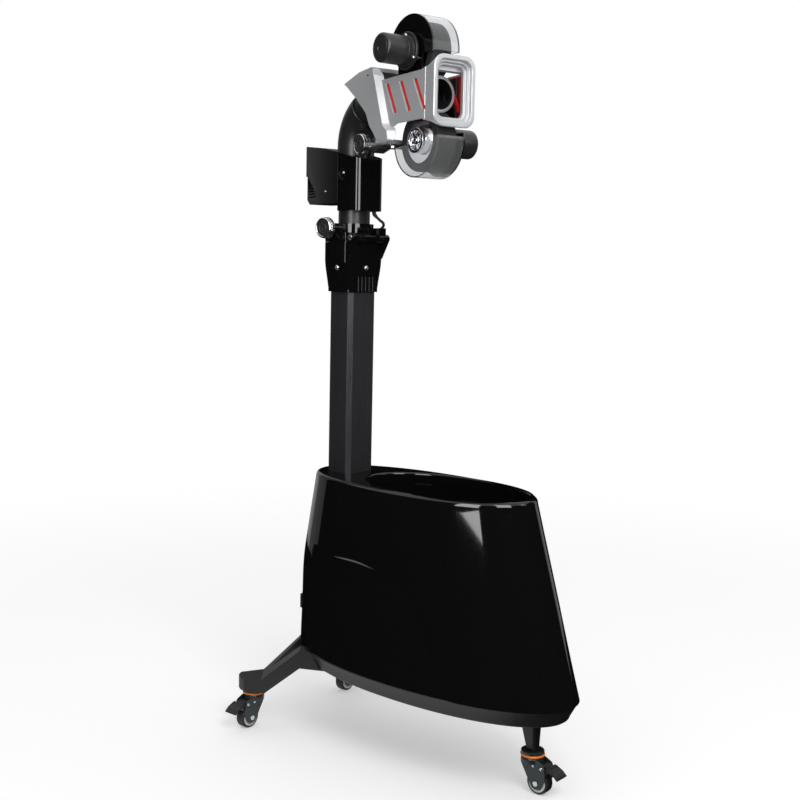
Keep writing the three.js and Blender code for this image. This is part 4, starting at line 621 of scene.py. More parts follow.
def repeat_tree(name, around):
    """Copies of one object round a circle (its +X outward) or along a line."""
    tree = bpy.data.node_groups.new(name, "GeometryNodeTree")
    face = tree.interface
    face.new_socket(name="Geometry", in_out="OUTPUT", socket_type="NodeSocketGeometry")
    face.new_socket(name="Copy", in_out="INPUT", socket_type="NodeSocketObject")
    face.new_socket(name="Count", in_out="INPUT", socket_type="NodeSocketInt")
    kind = "NodeSocketFloat" if around else "NodeSocketVector"
    face.new_socket(name="Radius" if around else "Step", in_out="INPUT", socket_type=kind)
    face.new_socket(name="Finish", in_out="INPUT", socket_type="NodeSocketMaterial")
    nodes = tree.nodes
    links = tree.links
    given = nodes.new("NodeGroupInput")
    result = nodes.new("NodeGroupOutput")
    source = nodes.new("GeometryNodeObjectInfo")
    links.new(given.outputs["Copy"], source.inputs["Object"])
    spots = nodes.new("GeometryNodeMeshCircle" if around else "GeometryNodeMeshLine")
    if around:
        links.new(given.outputs["Count"], spots.inputs["Vertices"])
        links.new(given.outputs["Radius"], spots.inputs["Radius"])
    else:
        links.new(given.outputs["Count"], spots.inputs["Count"])
        links.new(given.outputs["Step"], spots.inputs["Offset"])
    copies = nodes.new("GeometryNodeInstanceOnPoints")
    links.new(spots.outputs["Mesh"], copies.inputs["Points"])
    links.new(source.outputs["Geometry"], copies.inputs["Instance"])
    if around:
        index = nodes.new("GeometryNodeInputIndex")
        share = maths(tree, "DIVIDE", index.outputs["Index"], given.outputs["Count"])
        euler = nodes.new("ShaderNodeCombineXYZ")
        links.new(maths(tree, "MULTIPLY", share, 2 * math.pi), euler.inputs["Z"])
        links.new(euler.outputs["Vector"], copies.inputs["Rotation"])
    real = nodes.new("GeometryNodeRealizeInstances")
    links.new(copies.outputs["Instances"], real.inputs["Geometry"])
    paint = nodes.new("GeometryNodeSetMaterial")
    links.new(real.outputs["Geometry"], paint.inputs["Geometry"])
    links.new(given.outputs["Finish"], paint.inputs["Material"])
    links.new(paint.outputs["Geometry"], result.inputs["Geometry"])
    return tree


round_tree = repeat_tree("copies_round_a_circle", True)
line_tree = repeat_tree("copies_along_a_line", False)


def repeat(name, tree, copy, count, spacing, material):
    """Runs a tree and keeps its outcome as a plain mesh; the copied object is used up."""
    holder = make(name, [], [])
    grown = holder.modifiers.new(name, "NODES")
    grown.node_group = tree
    values = {"Copy": copy, "Count": count, "Radius": spacing, "Step": spacing, "Finish": material}
    for socket in tree.interface.items_tree:
        if socket.in_out == "INPUT":
            grown[socket.identifier] = values[socket.name]
    bake(holder)
    bpy.data.objects.remove(copy)
    return holder


def caster_pedal():
    arm = prism("arm", "x", [(-u, z) for u, z in rounded(arm_outline, arm_rounds)], -arm_half, arm_half)
    paddle = prism("paddle", "x", [(-u, z) for u, z in rounded(paddle_outline, paddle_rounds)],
                   -paddle_half, paddle_half)
    boss = rod("boss", "x", -arm_half, arm_half, lever_boss, lever_pivot)
    rib = prism("rib", "x", rounded(rectangle(-0.8, -0.9, 0.8, 0.7), [0.3] * 4, 2),
                -paddle_half + 1, paddle_half - 1)
    ribs = repeat("ribs", line_tree, rib, paddle_ribs, Vector(rib_step), black_plastic)
    put(ribs, Matrix.Translation(first_rib))
    carve(arm, add=[paddle, boss, ribs])
    soften(arm, 0.45, 2, 35)
    return put(arm, Matrix.Rotation(-math.pi / 2, 4, "Z"))


def add_casters():
    makers = [
        (caster_stud, "mount", "stud", caster_green, "caster_green"),
        (caster_ring, "ring", "dust_ring", orange, "orange"),
        (caster_fork, "fork", "housing", caster_green, "caster_green"),
        (caster_core, "wheel", "core", white_plastic, "white_plastic"),
        (caster_tyre, "tread", "tyre", rubber, "rubber"),
        (caster_pedal, "brake", "pedal", black_plastic, "black_plastic")]
    shapes = [(maker(), *rest) for maker, *rest in makers]
    rivets = caster_rivets()
    for place, (x, y, turn) in caster_places.items():
        spot = base_place() @ Matrix.Translation((x, y, 0)) @ Matrix.Rotation(math.radians(turn), 4, "Z")
        for shape, node, word, material, slot in shapes:
            piece = new_object(f"{place}_caster_{word}", shape.data.copy())
            piece.data.materials.clear()
            put(piece, spot)
            dress(piece, material, slot, f"{place}_caster_{node}")
        heads = new_object(f"{place}_caster_rivets", rivets.data.copy())
        put(heads, spot)
        dress(heads, steel, "steel", body=f"{place}_swivel")
    for shape, *_ in shapes:
        bpy.data.objects.remove(shape)
    bpy.data.objects.remove(rivets)


add_casters()


# Hopper shell. One tall moulding in glossy black plastic: an oval wall that
# leans in to a rounded shoulder, a flat deck round the column, a rolled rim
# round the ball bin, and a shallow scooped panel under an arch on each side.
shell_levels = [
    (142, 112, 259.5, -177), (210, 109, 248, -168), (283, 105, 236.5, -158.5),
    (343, 100, 223, -154.5), (421, 92.8, 205, -150)]
shell_top = 430
shell_shoulder = 7
shell_wall = 3
shell_edge = 6
rim_round = 3
bin_size = (82, 144, -199)
bin_lip = 18
bin_lip_wall = 2.5
arch_depth = 4
arch_rear = 2
arch_fade = 12
arch_inner = [(-60, 307), (-2, 308), (60, 310), (114, 310), (175, 300), (208, 281), (232, 250),
              (250, 210), (282, 142), (320, 60)]
arch_outer = [(-60, 319), (-2, 320), (60, 322), (114, 323.5), (175, 325), (207, 320), (236, 297),
              (262, 258), (331, 148), (380, 70)]
inlet_half = 26.3
inlet_run = (55, 95)
inlet_heights = (187.7, 212.3)
column_half_width = 31
column_half_depth = 24
panel_rows = 22
band_rows = 10
wall_rows = 34

gloss_black = surface("gloss_black", (0.0045, 0.0045, 0.005), 0.055, grain=0.3, grain_size=3,
                      bump=0.004, tint=0.15)


def level_at(z):
    """Half width, half length and centre of the wall at a height, smoothly through the levels."""
    heights = [level[0] for level in shell_levels]
    i = max(k for k in range(len(heights) - 1) if k == 0 or z >= heights[k])
    span = heights[i + 1] - heights[i]
    t = (z - heights[i]) / span
    found = []
    for c in (1, 2, 3):
        value = [level[c] for level in shell_levels]
        slope = []
        for k in (i, i + 1):
            low = max(k - 1, 0)
            high = min(k + 1, len(heights) - 1)
            slope.append((value[high] - value[low]) / (heights[high] - heights[low]) * span)
        found.append(value[i] * (2 * t ** 3 - 3 * t ** 2 + 1) + slope[0] * (t ** 3 - 2 * t ** 2 + t)
                     + value[i + 1] * (3 * t ** 2 - 2 * t ** 3) + slope[1] * (t ** 3 - t ** 2))
    return found


def wall_point(k, z, inset):
    """A point of the oval wall: column k of the ring, at a height, moved inward."""
    half_width, half_length, centre = level_at(z)
    return oval_point(k, half_width - inset, half_length - inset, centre, z)


def height_on(curve, forward):
    if forward <= curve[0].x:
        return curve[0].y
    for a, b in zip(curve, curve[1:]):
        if forward <= b.x:
            return a.y + (b.y - a.y) * (forward - a.x) / max(b.x - a.x, 1e-6)
    return curve[-1].y


def crossing(k, curve):
    """Height at which column k of the wall meets an arch curve drawn in side view."""
    low = 60
    high = 345
    for _ in range(30):
        z = (low + high) / 2
        if height_on(curve, -wall_point(k, z, 0).y) > z:
            low = z
        else:
            high = z
    return low


def smooth_step(t):
    t = max(0, min(1, t))
    return t * t * (3 - 2 * t)


def shell_columns():
    """For each column of the wall, its run of points from the foot to the shoulder."""
    inner = [Vector(p) for p in spline_points([(*p, 0) for p in arch_inner], 12)]
    outer = [Vector(p) for p in spline_points([(*p, 0) for p in arch_outer], 12)]
    foot = shell_levels[0][0]
    brim = shell_levels[-1][0]
    columns = []
    for k in range(oval_count):
        crease = crossing(k, inner)
        edge = max(crossing(k, outer), crease + 6)
        low = max(crease, foot + 3)
        high = max(edge, low + 4)
        heights = [foot + (low - 0.8 - foot) * i / panel_rows for i in range(panel_rows + 1)]
        heights += [low + (high - low) * i / band_rows for i in range(band_rows)]
        heights += [high + (brim - high) * i / wall_rows for i in range(wall_rows + 1)]
        run = []
        for z in heights:
            forward = -wall_point(k, z, 0).y
            rise = max(0, min(1, (z - crease) / (edge - crease)))
            fade = smooth_step((forward + arch_rear + arch_fade) / (2 * arch_fade))
            run.append(wall_point(k, z, arch_depth * (1 - rise) ** 1.7 * fade))
        columns.append(run)
    return columns


def column_outline(side, front=None, rear=None):
    """The column's eight-sided outline, grown at its sides, front and rear."""
    front = side if front is None else front
    rear = side if rear is None else rear
    w = column_half_width + side
    f = -column_half_depth - front
    r = column_half_depth + rear
    return [(-w + 6.5, f), (w - 6.5, f), (w, f + 6.5), (w, r - 17),
            (w - 5, r), (-w + 5, r), (-w, r - 17), (-w, f + 6.5)]


def add_shell():
    columns = shell_columns()
    rows = [list(row) for row in zip(*columns)]
    brim = shell_levels[-1]
    shoulder = (brim[1], brim[2], brim[3])
    for k in range(1, 9):
        angle = math.pi / 2 * k / 8
        rows.append(grown_oval(shoulder, shell_shoulder * (1 - math.cos(angle)),
                               brim[0] + (shell_top - brim[0]) * math.sin(angle)))
    rim = []
    for k in range(7):
        angle = math.pi / 2 * k / 6
        rim.append(grown_oval(bin_size, -rim_round * (1 - math.sin(angle)),
                              shell_top - rim_round * (1 - math.cos(angle))))
    rim.append(grown_oval(bin_size, 0, shell_top - bin_lip))
    rim.append(grown_oval(bin_size, -bin_lip_wall, shell_top - bin_lip))
    rim.append(grown_oval(bin_size, -bin_lip_wall, shell_top - shell_wall))
    lining = [grown_oval(shoulder, shell_shoulder + 0.5, shell_top - shell_wall)]
    for level in reversed(shell_levels):
        lining.append(grown_oval(level[1:], shell_wall + arch_depth, level[0] - 1))
    lining[-1] = grown_oval(shell_levels[0][1:], shell_edge, shell_levels[0][0])
    rows = lining + rows
    hole = [[Vector((x, y, z)) for x, y in column_outline(0.3)]
            for z in (shell_top - shell_wall, shell_top)]
    work = bmesh.new()

    def band(rings):
        made = [[work.verts.new(p) for p in ring] for ring in rings]
        for a, b in zip(made, made[1:]):
            for k in range(len(a)):
                n = (k + 1) % len(a)
                work.faces.new((a[k], a[n], b[n], b[k]))
        return made

    def loop(ring):
        return [work.edges.get((ring[k], ring[(k + 1) % len(ring)])) for k in range(len(ring))]

    wall = band(rows)
    mouth = band(rim)
    well = band(hole)
    top = loop(wall[-1]) + loop(mouth[0]) + loop(well[1])
    bmesh.ops.triangle_fill(work, use_beauty=True, edges=top, normal=(0, 0, 1))
    under = loop(wall[0]) + loop(mouth[-1]) + loop(well[0])
    bmesh.ops.triangle_fill(work, use_beauty=True, edges=under, normal=(0, 0, -1))
    mesh = bpy.data.meshes.new("hopper")
    work.to_mesh(mesh)
    work.free()
    shell = new_object("hopper", mesh)
    settle(shell)
    room = rectangle(-inlet_half, inlet_run[0], inlet_half, inlet_run[1])
    inlet = prism("inlet_hole", "z", room, *inlet_heights)
    carve(shell, cut=[inlet])
    shade(shell, 38)
    put(shell, base_place())
    dress(shell, gloss_black, "gloss_black", "hopper_shell")


add_shell()


# Ball tub. A black moulding that hangs under the bin's rim and funnels the balls
# to a round well; a short spout leads out of the well toward the column.
tub_wall = 2.4
well_radius = 78.6
well_centre = -130
well_floor = 190
tub_middle = (86, 130, -184)
tub_middle_z = 320
well_base = 3
well_brim = 238
well_corner = 4
tub_top = 411.7
tub_rim = (82.5, 144.5, -199)
spout_height = 212
spout_radius = 24.5
spout_end = -48.9
ball_bore = 22


def well_ring(inset, z):
    radius = well_radius + tub_wall
    return grown_oval((radius, radius, well_centre), inset, z, 2)


def add_tub():
    rings = [well_ring(0, well_floor - well_base), well_ring(0, well_brim),
             grown_oval(tub_middle, 0, tub_middle_z), grown_oval(tub_rim, 0, tub_top),
             grown_oval(tub_rim, tub_wall, tub_top), grown_oval(tub_middle, tub_wall, tub_middle_z),
             well_ring(tub_wall, well_brim), well_ring(tub_wall, well_floor + well_corner),
             well_ring(tub_wall + well_corner, well_floor)]
    tub = loft("tub", rings)
    spout = rod("spout", "y", well_centre + well_radius - 6, spout_end, spout_radius, (0, spout_height), 72)
    bore = rod("bore", "y", well_centre, -40, ball_bore, (0, spout_height), 72)
    shaft = rod("shaft", "z", well_floor - 8, well_floor + 8, 4.5, (0, well_centre))
    carve(tub, add=[spout], cut=[bore, shaft])
    shade(tub, 25)
    put(tub, base_place())
    dress(tub, gloss_black, "gloss_black", "ball_tub")


add_tub()


# Pickup disc. A white moulded wheel with five open pockets turns in the well and
# carries one ball after another to the spout.
disc_low = 200
disc_rim = 206
disc_crown = 224
disc_hole = 4.3
disc_radius = 76.4
pocket_circle = 56
pocket_radius = 21.5
pocket_count = 5


def add_pickup_disc():
    disc = turned("disc", "z", [
        (0, disc_low + 10), (disc_hole, disc_low + 10), (disc_hole, disc_low), (disc_radius, disc_low),
        (disc_radius, disc_rim), (32, disc_low + 12), (24, disc_low + 15), (14, disc_low + 20),
        (6, disc_crown - 0.6), (0, disc_crown)], (0, well_centre), 128)
    pockets = []
    for k in range(pocket_count):
        angle = 2 * math.pi * (k + 0.5) / pocket_count
        spot = (pocket_circle * math.sin(angle), well_centre + pocket_circle * math.cos(angle))
        pockets.append(rod("pocket", "z", disc_low - 5, disc_crown + 5, pocket_radius, spot, 64))
    carve(disc, cut=pockets)
    soften(disc, 0.7, 2, 35)
    put(disc, base_place())
    dress(disc, white_plastic, "white_plastic", "pickup_disc")


add_pickup_disc()


# Inner pieces of the base: the bend that turns the balls upward, the cast foot
# that holds the column, the pickup motor and the boxed power supply. They are
# shut away under the shell, so their own solids stay, in their real finishes.
def finish_node(node, material):
    piece = frame["nodes"][node]
    piece.data.materials.clear()
    piece.data.materials.append(material)


finish_node("feed_elbow", black_plastic)
finish_node("column_foot", satin_grey)
finish_node("pickup_motor", satin_grey)
finish_node("power_supply", black_plastic)


# Power inlet. A black socket block snapped into the shell's rear, with three
# flat pins and a red rocker switch beside them.
red_plastic = surface("red_plastic", (0.80, 0.010, 0.008), 0.34, grain_size=0.6, bump=0.04)

soft_node("socket_block", "power_inlet", 0.6, black_plastic, "black_plastic")
soft_node("rocker_button", "power_switch", 0.6, red_plastic, "red_plastic")


# Column. An aluminium extrusion with eight flats round the ball's bore, sawn to
# length and anodised dark grey, with fine drawing lines along it.
anodised = surface("anodised", (0.050, 0.050, 0.055), 0.36, 0.55, grain=0.25, grain_size=1.2,
                   bump=0.05, stretch=(1, 1, 0.02))

soft_node("column_extrusion", "column", 0.8, anodised, "anodised")


# Clamp casting. A glossy black casting slipped over the column's top and held by
# three screws; it flares out into two ears that carry the hinge of the fold.
clamp_bottom = 719
clamp_straight = 725
clamp_flare = 772
clamp_top = 797
clamp_small = 3.5
clamp_wide = 12
clamp_front = 3
clamp_rounds = [3, 3, 3, 6, 3, 3, 6, 3]
clamp_ribs = 5
clamp_rib_step = 8.5
hinge_hole = 3.3
clamp_screw_z = 757
hinge_y = -32
hinge_z = 804
hinge_radius = 6.5
ear_inner = 29.8
ear_outer = 43
ear_outline = [(23, 772), (23, 790), (27, 797), (28, 804), (32, 804), (38.2, 801.5)]
column_top = 792


def on_side(side, near, far):
    """The run from near to far on one side of the middle, its low end first."""
    return sorted((side * near, side * far))


def clamp_outline(side):
    return rounded(column_outline(side, clamp_front, clamp_small), clamp_rounds, 4)


def clamp_ring(z):
    side = clamp_small
    if z > clamp_straight:
        rise = 0.15 + 0.85 * (z - clamp_straight) / (clamp_flare - clamp_straight)
        side += (clamp_wide - clamp_small) * smooth_step(rise)
    return [Vector((x, y, z)) for x, y in clamp_outline(side)]


def screw(name, radius, place):
    """A pan head with a cross recess, standing along +X from where it seats."""
    height = 0.8 * radius
    dome = [(0, -1), (radius, -1), (radius, 0.3 * height)]
    dome += [(radius * math.cos(a), height * (0.3 + 0.7 * math.sin(a))) for a in
             (math.pi / 2 * k / 8 for k in range(1, 8))]
    head = turned(name, "x", dome + [(0, height)], sides=40)
    arm = 0.55 * radius
    slim = 0.11 * radius
    deep = 0.45 * height
    bars = []
    for a, b in ((arm, slim), (slim, arm)):
        bars.append(prism("bar", "z", rectangle(deep, -a, height + 1, a), -b, b))
    carve(head, cut=bars)
    shade(head, 35)
    return put(head, place)


def facing(direction, point):
    """A placement whose +X looks along a direction from a point."""
    turn = Vector(direction).to_track_quat("X", "Z").to_matrix().to_4x4()
    return Matrix.Translation(point) @ turn


def add_clamp():
    heights = [clamp_bottom, clamp_straight]
    heights += [clamp_straight + (clamp_flare - clamp_straight) * k / 14 for k in range(1, 15)]
    heights.append(clamp_top)
    body = loft("clamp", [clamp_ring(z) for z in heights])
    parts = []
    for side in (-1, 1):
        low, high = on_side(side, ear_inner, ear_outer)
        parts.append(rod("ear", "x", low, high, hinge_radius, (hinge_y, hinge_z), 64))
        parts.append(prism("web", "x", ear_outline, low + 0.01, high - 0.01))
    outline = rounded(rectangle(-1.6, -1.4, 1.6, 3), [0.8, 0.8, 0.1, 0.1], 3)
    rib = prism("rib", "z", outline, clamp_bottom + 1, clamp_bottom + 24)
    ribs = repeat("clamp_ribs", line_tree, rib, clamp_ribs, Vector((clamp_rib_step, 0, 0)), gloss_black)
    row_start = (-clamp_rib_step * (clamp_ribs - 1) / 2, -column_half_depth - clamp_front, 0)
    put(ribs, Matrix.Translation(row_start))
    socket = prism("socket", "z", column_outline(0.3), clamp_bottom - 5, column_top + 0.3)
    bore = rod("bore", "z", column_top - 5, clamp_top + 5, ball_bore, sides=72)
    pin = rod("pin", "x", -50, 50, hinge_hole, (hinge_y, hinge_z))
    carve(body, add=parts, cut=[socket, bore, pin])
    soften(body, 0.8, 3, 28)
    put(body, base_place())
    dress(body, gloss_black, "gloss_black", "clamp_casting")
    put(shade(ribs, 50), base_place())
    dress(ribs, gloss_black, "gloss_black", body="base")
    front = -column_half_depth - clamp_front
    side_reach = column_half_width + clamp_small + (clamp_wide - clamp_small) * 0.72
    seats = [((0, -1, 0), (0, front, clamp_screw_z)), ((-1, 0, 0), (-side_reach, -3, clamp_screw_z)),
             ((1, 0, 0), (side_reach, -3, clamp_screw_z))]
    for k, (direction, point) in enumerate(seats):
        head = screw(f"clamp_screw_{k + 1}", 4, base_place() @ facing(direction, point))
        dress(head, steel, "steel", body="base")


add_clamp()


# Hinge pin. A ground steel pin through both ears and the flange's knuckle,
# kept in place by its two heads.
soft_node("hinge_rod", "hinge_pin", 0.5, steel, "steel", limit=35)


# Mast flange. The glossy black upper half of the fold: a plate on the clamp's
# top with the hinge knuckle, a collar for the mast and a boss for its knob.
flange_low = 797.3
flange_high = 811.9
collar_radius = 31
collar_top = 826
knob_boss_reach = 51
knob_boss_radius = 8
mast_knob_z = 818
mast_radius = 25
knuckle_half = 29.4
knuckle_web = 13
knuckle_slot = 17
knuckle_slot_half = 3
knuckle_slot_floor = 807.5
thread_radius = 4.3
lead_hole = (22, -24.5)
lead_hole_radius = 3.2
lead_hole_floor = 805.9


def add_flange():
    plate = prism("flange", "z", clamp_outline(clamp_wide), flange_low, flange_high)
    knuckle = rod("knuckle", "x", -knuckle_half, knuckle_half, hinge_radius, (hinge_y, hinge_z), 64)
    half = knuckle_half - 0.01
    web = prism("web", "z", rectangle(-half, hinge_y, half, hinge_y + knuckle_web), flange_low + 0.5,
                hinge_z + hinge_radius)
    collar = rod("collar", "z", flange_high - 1, collar_top, collar_radius, sides=128)
    boss = rod("boss", "x", -knob_boss_reach, 0, knob_boss_radius, (0, mast_knob_z), 64)
    rooms = []
    for side in (-1, 1):
        low, high = on_side(side, knuckle_half, 50)
        rooms.append(rod("room", "x", low, high, hinge_radius + 0.5, (hinge_y, hinge_z), 64))
        middle = side * knuckle_slot
        outline = rectangle(middle - knuckle_slot_half, -50, middle + knuckle_slot_half, -mast_radius - 0.5)
        rooms.append(prism("slot", "z", outline, knuckle_slot_floor, 820))
    rooms.append(rod("bore", "z", 790, flange_high, ball_bore, sides=72))
    rooms.append(rod("seat", "z", 800, 840, mast_radius + 0.5, sides=128))
    rooms.append(rod("pin", "x", -50, 50, hinge_hole, (hinge_y, hinge_z)))
    rooms.append(rod("thread", "x", -60, 0, thread_radius, (0, mast_knob_z)))
    rooms.append(rod("lead", "z", lead_hole_floor, 820, lead_hole_radius, lead_hole))
    carve(plate, add=[knuckle, web, collar, boss], cut=rooms)
    soften(plate, 0.7, 3, 28)
    put(plate, base_place())
    dress(plate, gloss_black, "gloss_black", "mast_flange")


add_flange()


# Knobs. Two alike: a chromed turned knob with a knurled rim and a black moulded
# face, on a threaded shaft. One locks the mast's turn, the other the head's tilt.
knob_rim = 15.9
knob_face_radius = 13
knob_thickness = 14
knob_shaft = 4
knurl_count = 54
tilt_forward = 63
tilt_z = 944

chrome = surface("chrome", (0.80, 0.81, 0.83), 0.19, 1.0, grain=0.3, grain_size=2, bump=0.006, tint=0.03)


def add_knob(name, node, face, core, centre, place):
    """A knob whose core is the run of (radius, distance) of its shaft or its blind hole."""
    body = turned(name + "_body", "x", [
        (0, -face + 1.4), (knob_face_radius, -face + 1.4), (knob_face_radius, -face + 0.3),
        (knob_face_radius + 0.4, -face), (14.6, -face), (15.6, -face + 0.7), (knob_rim, -face + 1.8),
        (knob_rim, -face + 3), (15.2, -face + 3.4), (15.2, -face + 4), (16.0, -face + 4.4),
        (16.0, -face + 11), (15.2, -face + 12.2), (11, -face + knob_thickness - 0.6),
        (10, -face + knob_thickness), *core], centre, 128)
    put(shade(body, 28), place)
    dress(body, chrome, "chrome", node)
    tooth = prism("tooth", "z", rounded(rectangle(-0.7, -0.42, 0.5, 0.42),
                                        [0.05, 0.3, 0.3, 0.05], 2), 0, 6)
    knurl = repeat(name + "_knurl", round_tree, tooth, knurl_count, knob_rim, chrome)
    put(knurl, facing((1, 0, 0), (-face + 4.6, *centre)) @ Matrix.Rotation(math.pi / 2, 4, "Y"))
    put(shade(knurl, 35), place)
    dress(knurl, chrome, "chrome", body=node_body[node])
    cap = turned(name + "_cap", "x", [
        (0, -face + 1.5), (0, -face + 0.9), (3.4, -face + 0.9), (4.2, -face + 0.5), (5.4, -face + 0.5),
        (6.2, -face + 1.1), (7.4, -face + 1.1), (8.0, -face + 0.6), (11.6, -face + 0.6),
        (12.6, -face + 0.9), (12.8, -face + 1.5)], centre, 96)
    put(shade(cap, 28), place)
    dress(cap, black_plastic, "black_plastic", body=node_body[node])


mast_knob_face = 72
mast_knob_end = -mast_radius - 0.6
mast_shaft = [(knob_shaft, knob_thickness - mast_knob_face), (knob_shaft, mast_knob_end - 0.5),
              (knob_shaft - 0.5, mast_knob_end), (0, mast_knob_end)]
tilt_knob_face = 36
bolt_hole = 4.3
cap_wall = 3
tilt_hole = [(bolt_hole, knob_thickness - tilt_knob_face), (bolt_hole, cap_wall - tilt_knob_face),
             (0, cap_wall - tilt_knob_face)]

add_knob("mast_lock", "mast_knob", mast_knob_face, mast_shaft, (0, mast_knob_z), base_place())
add_knob("tilt_lock", "tilt_knob", tilt_knob_face, tilt_hole, (-tilt_forward, tilt_z), mast_place())


# Mast tube. A plain aluminium tube coated satin black, in the flange's collar
# below and in the elbow's socket above, so that it can be turned by hand.
satin_black = surface("satin_black", (0.020, 0.020, 0.022), 0.34, grain_size=0.4, bump=0.06)
mast_low = 800.3
mast_high = 941


def add_mast_tube():
    tube = turned("mast", "z", [
        (ball_bore, mast_low), (mast_radius - 0.5, mast_low), (mast_radius, mast_low + 0.5),
        (mast_radius, mast_high - 0.5), (mast_radius - 0.5, mast_high), (ball_bore, mast_high),
        (ball_bore, mast_low)], sides=128)
    put(shade(tube), mast_place())
    dress(tube, satin_black, "black_plastic", "mast_tube")


add_mast_tube()


# Control box. Two thin mouldings clasp the mast: a satin rear housing with vent
# slots along its lower rear edges, and a glossy front cover with a round recess.
box_half = 30
cover_spot = (9, 903)
housing_spot = (-39, 877)

case_black = surface("case_black", (0.006, 0.006, 0.007), 0.30, grain_size=0.4, bump=0.05)

soft_node("control_case", "control_housing", 1.0, case_black, "black_plastic", limit=20)


def round_uprights(piece, width, steps=8):
    """Rolls the long upright edges where two broad outer faces meet at a slant."""
    work = bmesh.new()
    work.from_mesh(piece.data)
    bmesh.ops.remove_doubles(work, verts=work.verts, dist=node_near)
    bmesh.ops.dissolve_limit(work, angle_limit=flat_angle, verts=work.verts, edges=work.edges)
    uprights = []
    for edge in work.edges:
        run = edge.verts[1].co - edge.verts[0].co
        if abs(run.z) > max(50 * mm, 0.98 * run.length) and edge.is_convex:
            if 20 < math.degrees(edge.calc_face_angle(0)) < 70:
                uprights.append(edge)
    bmesh.ops.bevel(work, geom=uprights, offset=width, offset_type="OFFSET", segments=steps, profile=0.5,
                    affect="EDGES", clamp_overlap=True)
    work.to_mesh(piece.data)
    work.free()


def add_cover():
    piece = from_node("control_front", "control_cover")
    round_uprights(piece, 5.5 * mm)
    soften(piece, 1.6 * mm, 3, 20, near=node_near)
    dress(piece, gloss_black, "gloss_black", "control_cover")


add_cover()


def add_box_fittings():
    forward, z = cover_spot
    place = mast_place() @ facing((-1, 0, 0), (-box_half + 1.2, -forward - 3, z + 1))
    dress(screw("cover_screw", 2.6, place), steel, "steel", body="mast")
    profile = [(7.6, 0.6), (8.9, 0.6), (8.9, 1.6), (7.6, 1.6), (7.6, 0.6)]
    ring = turned("cover_ring", "x", [(radius, rise - box_half) for radius, rise in profile],
                  (-forward, z), 72)
    put(shade(ring, 50), mast_place())
    dress(ring, satin_black, "black_plastic", body="mast")
    forward, z = housing_spot
    place = mast_place() @ facing((-1, 0, 0), (-box_half, -forward, z))
    dress(screw("housing_screw", 1.8, place), steel, "steel", body="mast")


add_box_fittings()


# Elbow. A satin black moulded bend on the mast's top; the head's inlet slides in
# its open end, and a lug reaches forward to the tilt axis.
elbow_radius = 28
elbow_bore = 25.4
elbow_low = 925.3
elbow_end = 62
lug_half = 8
lug_radius = 11
lug_angles = (8, 30, 54)
lug_bite = 1.8
grip_apart = 11
grip_half = 3.5
grip_reach = 32
grip_heights = (931, 943)
tube_sides = 96


def arc_ring(radius, angle):
    """A ring of the bend: 0 degrees is over the mast, 90 degrees points forward."""
    a = math.radians(angle)
    ring = []
    for k in range(tube_sides):
        around = 2 * math.pi * k / tube_sides
        reach = tilt_forward + radius * math.cos(around)
        ring.append(Vector((radius * math.sin(around), -(tilt_forward - reach * math.cos(a)),
                            tilt_z + reach * math.sin(a))))
    return ring


def level_ring(radius, z):
    return [Vector((p.x, p.y, z)) for p in arc_ring(radius, 0)]


def add_elbow():
    steps = 24
    rings = [level_ring(elbow_radius - 0.6, elbow_low), level_ring(elbow_radius, elbow_low + 0.6),
             level_ring(elbow_radius, tilt_z - 6)]
    rings += [arc_ring(elbow_radius, elbow_end * k / steps) for k in range(steps + 1)]
    rings[-1] = arc_ring(elbow_radius, elbow_end - 0.9)
    rings.append(arc_ring(elbow_radius - 0.8, elbow_end))
    body = loft("elbow_bend", rings)
    bore = [level_ring(elbow_bore, elbow_low - 5), level_ring(elbow_bore, tilt_z - 6)]
    bore += [arc_ring(elbow_bore, (elbow_end + 3) * k / steps) for k in range(steps + 1)]

    def polar(radius, angle):
        a = math.radians(angle)
        return (tilt_forward - radius * math.cos(a), tilt_z + radius * math.sin(a))

    reach = tilt_forward - elbow_radius + lug_bite
    web = prism("web", "x", [polar(lug_radius - 0.01, lug_angles[0] - 90), polar(reach, lug_angles[0]),
                             polar(reach, lug_angles[1]), polar(reach, lug_angles[2]),
                             polar(lug_radius - 0.01, lug_angles[2] + 90)],
                -lug_half + 0.01, lug_half - 0.01)
    eye = rod("eye", "x", -lug_half, lug_half, lug_radius, (-tilt_forward, tilt_z), 72)
    grips = []
    for middle in (-grip_apart, grip_apart):
        outline = rectangle(middle - grip_half, -grip_reach, middle + grip_half, -elbow_bore)
        grips.append(prism("grip", "z", outline, *grip_heights))
    hole = rod("hole", "x", -20, 20, knob_shaft + 0.3, (-tilt_forward, tilt_z))
    carve(body, add=[web, eye, *grips], cut=[loft("bore", bore), hole])
    soften(body, 0.6, 3, 32)
    put(body, mast_place())
    dress(body, satin_black, "black_plastic", "elbow")


add_elbow()


# Tilt bracket. A zinc-plated steel strap: a plate bolted under the head with two
# cheeks that straddle the elbow's lug on the tilt axis.
soft_node("tilt_strap", "tilt_bracket", 0.5, steel, "steel")


# Tilt bolt. A zinc-plated steel bolt through the cheeks and the lug; its hexagonal
# head bears on one cheek, and the tilt knob is screwed on its other end.
bolt_low = -32.7
bolt_seat = 11.1
bolt_head_radius = 7
bolt_head_length = 3


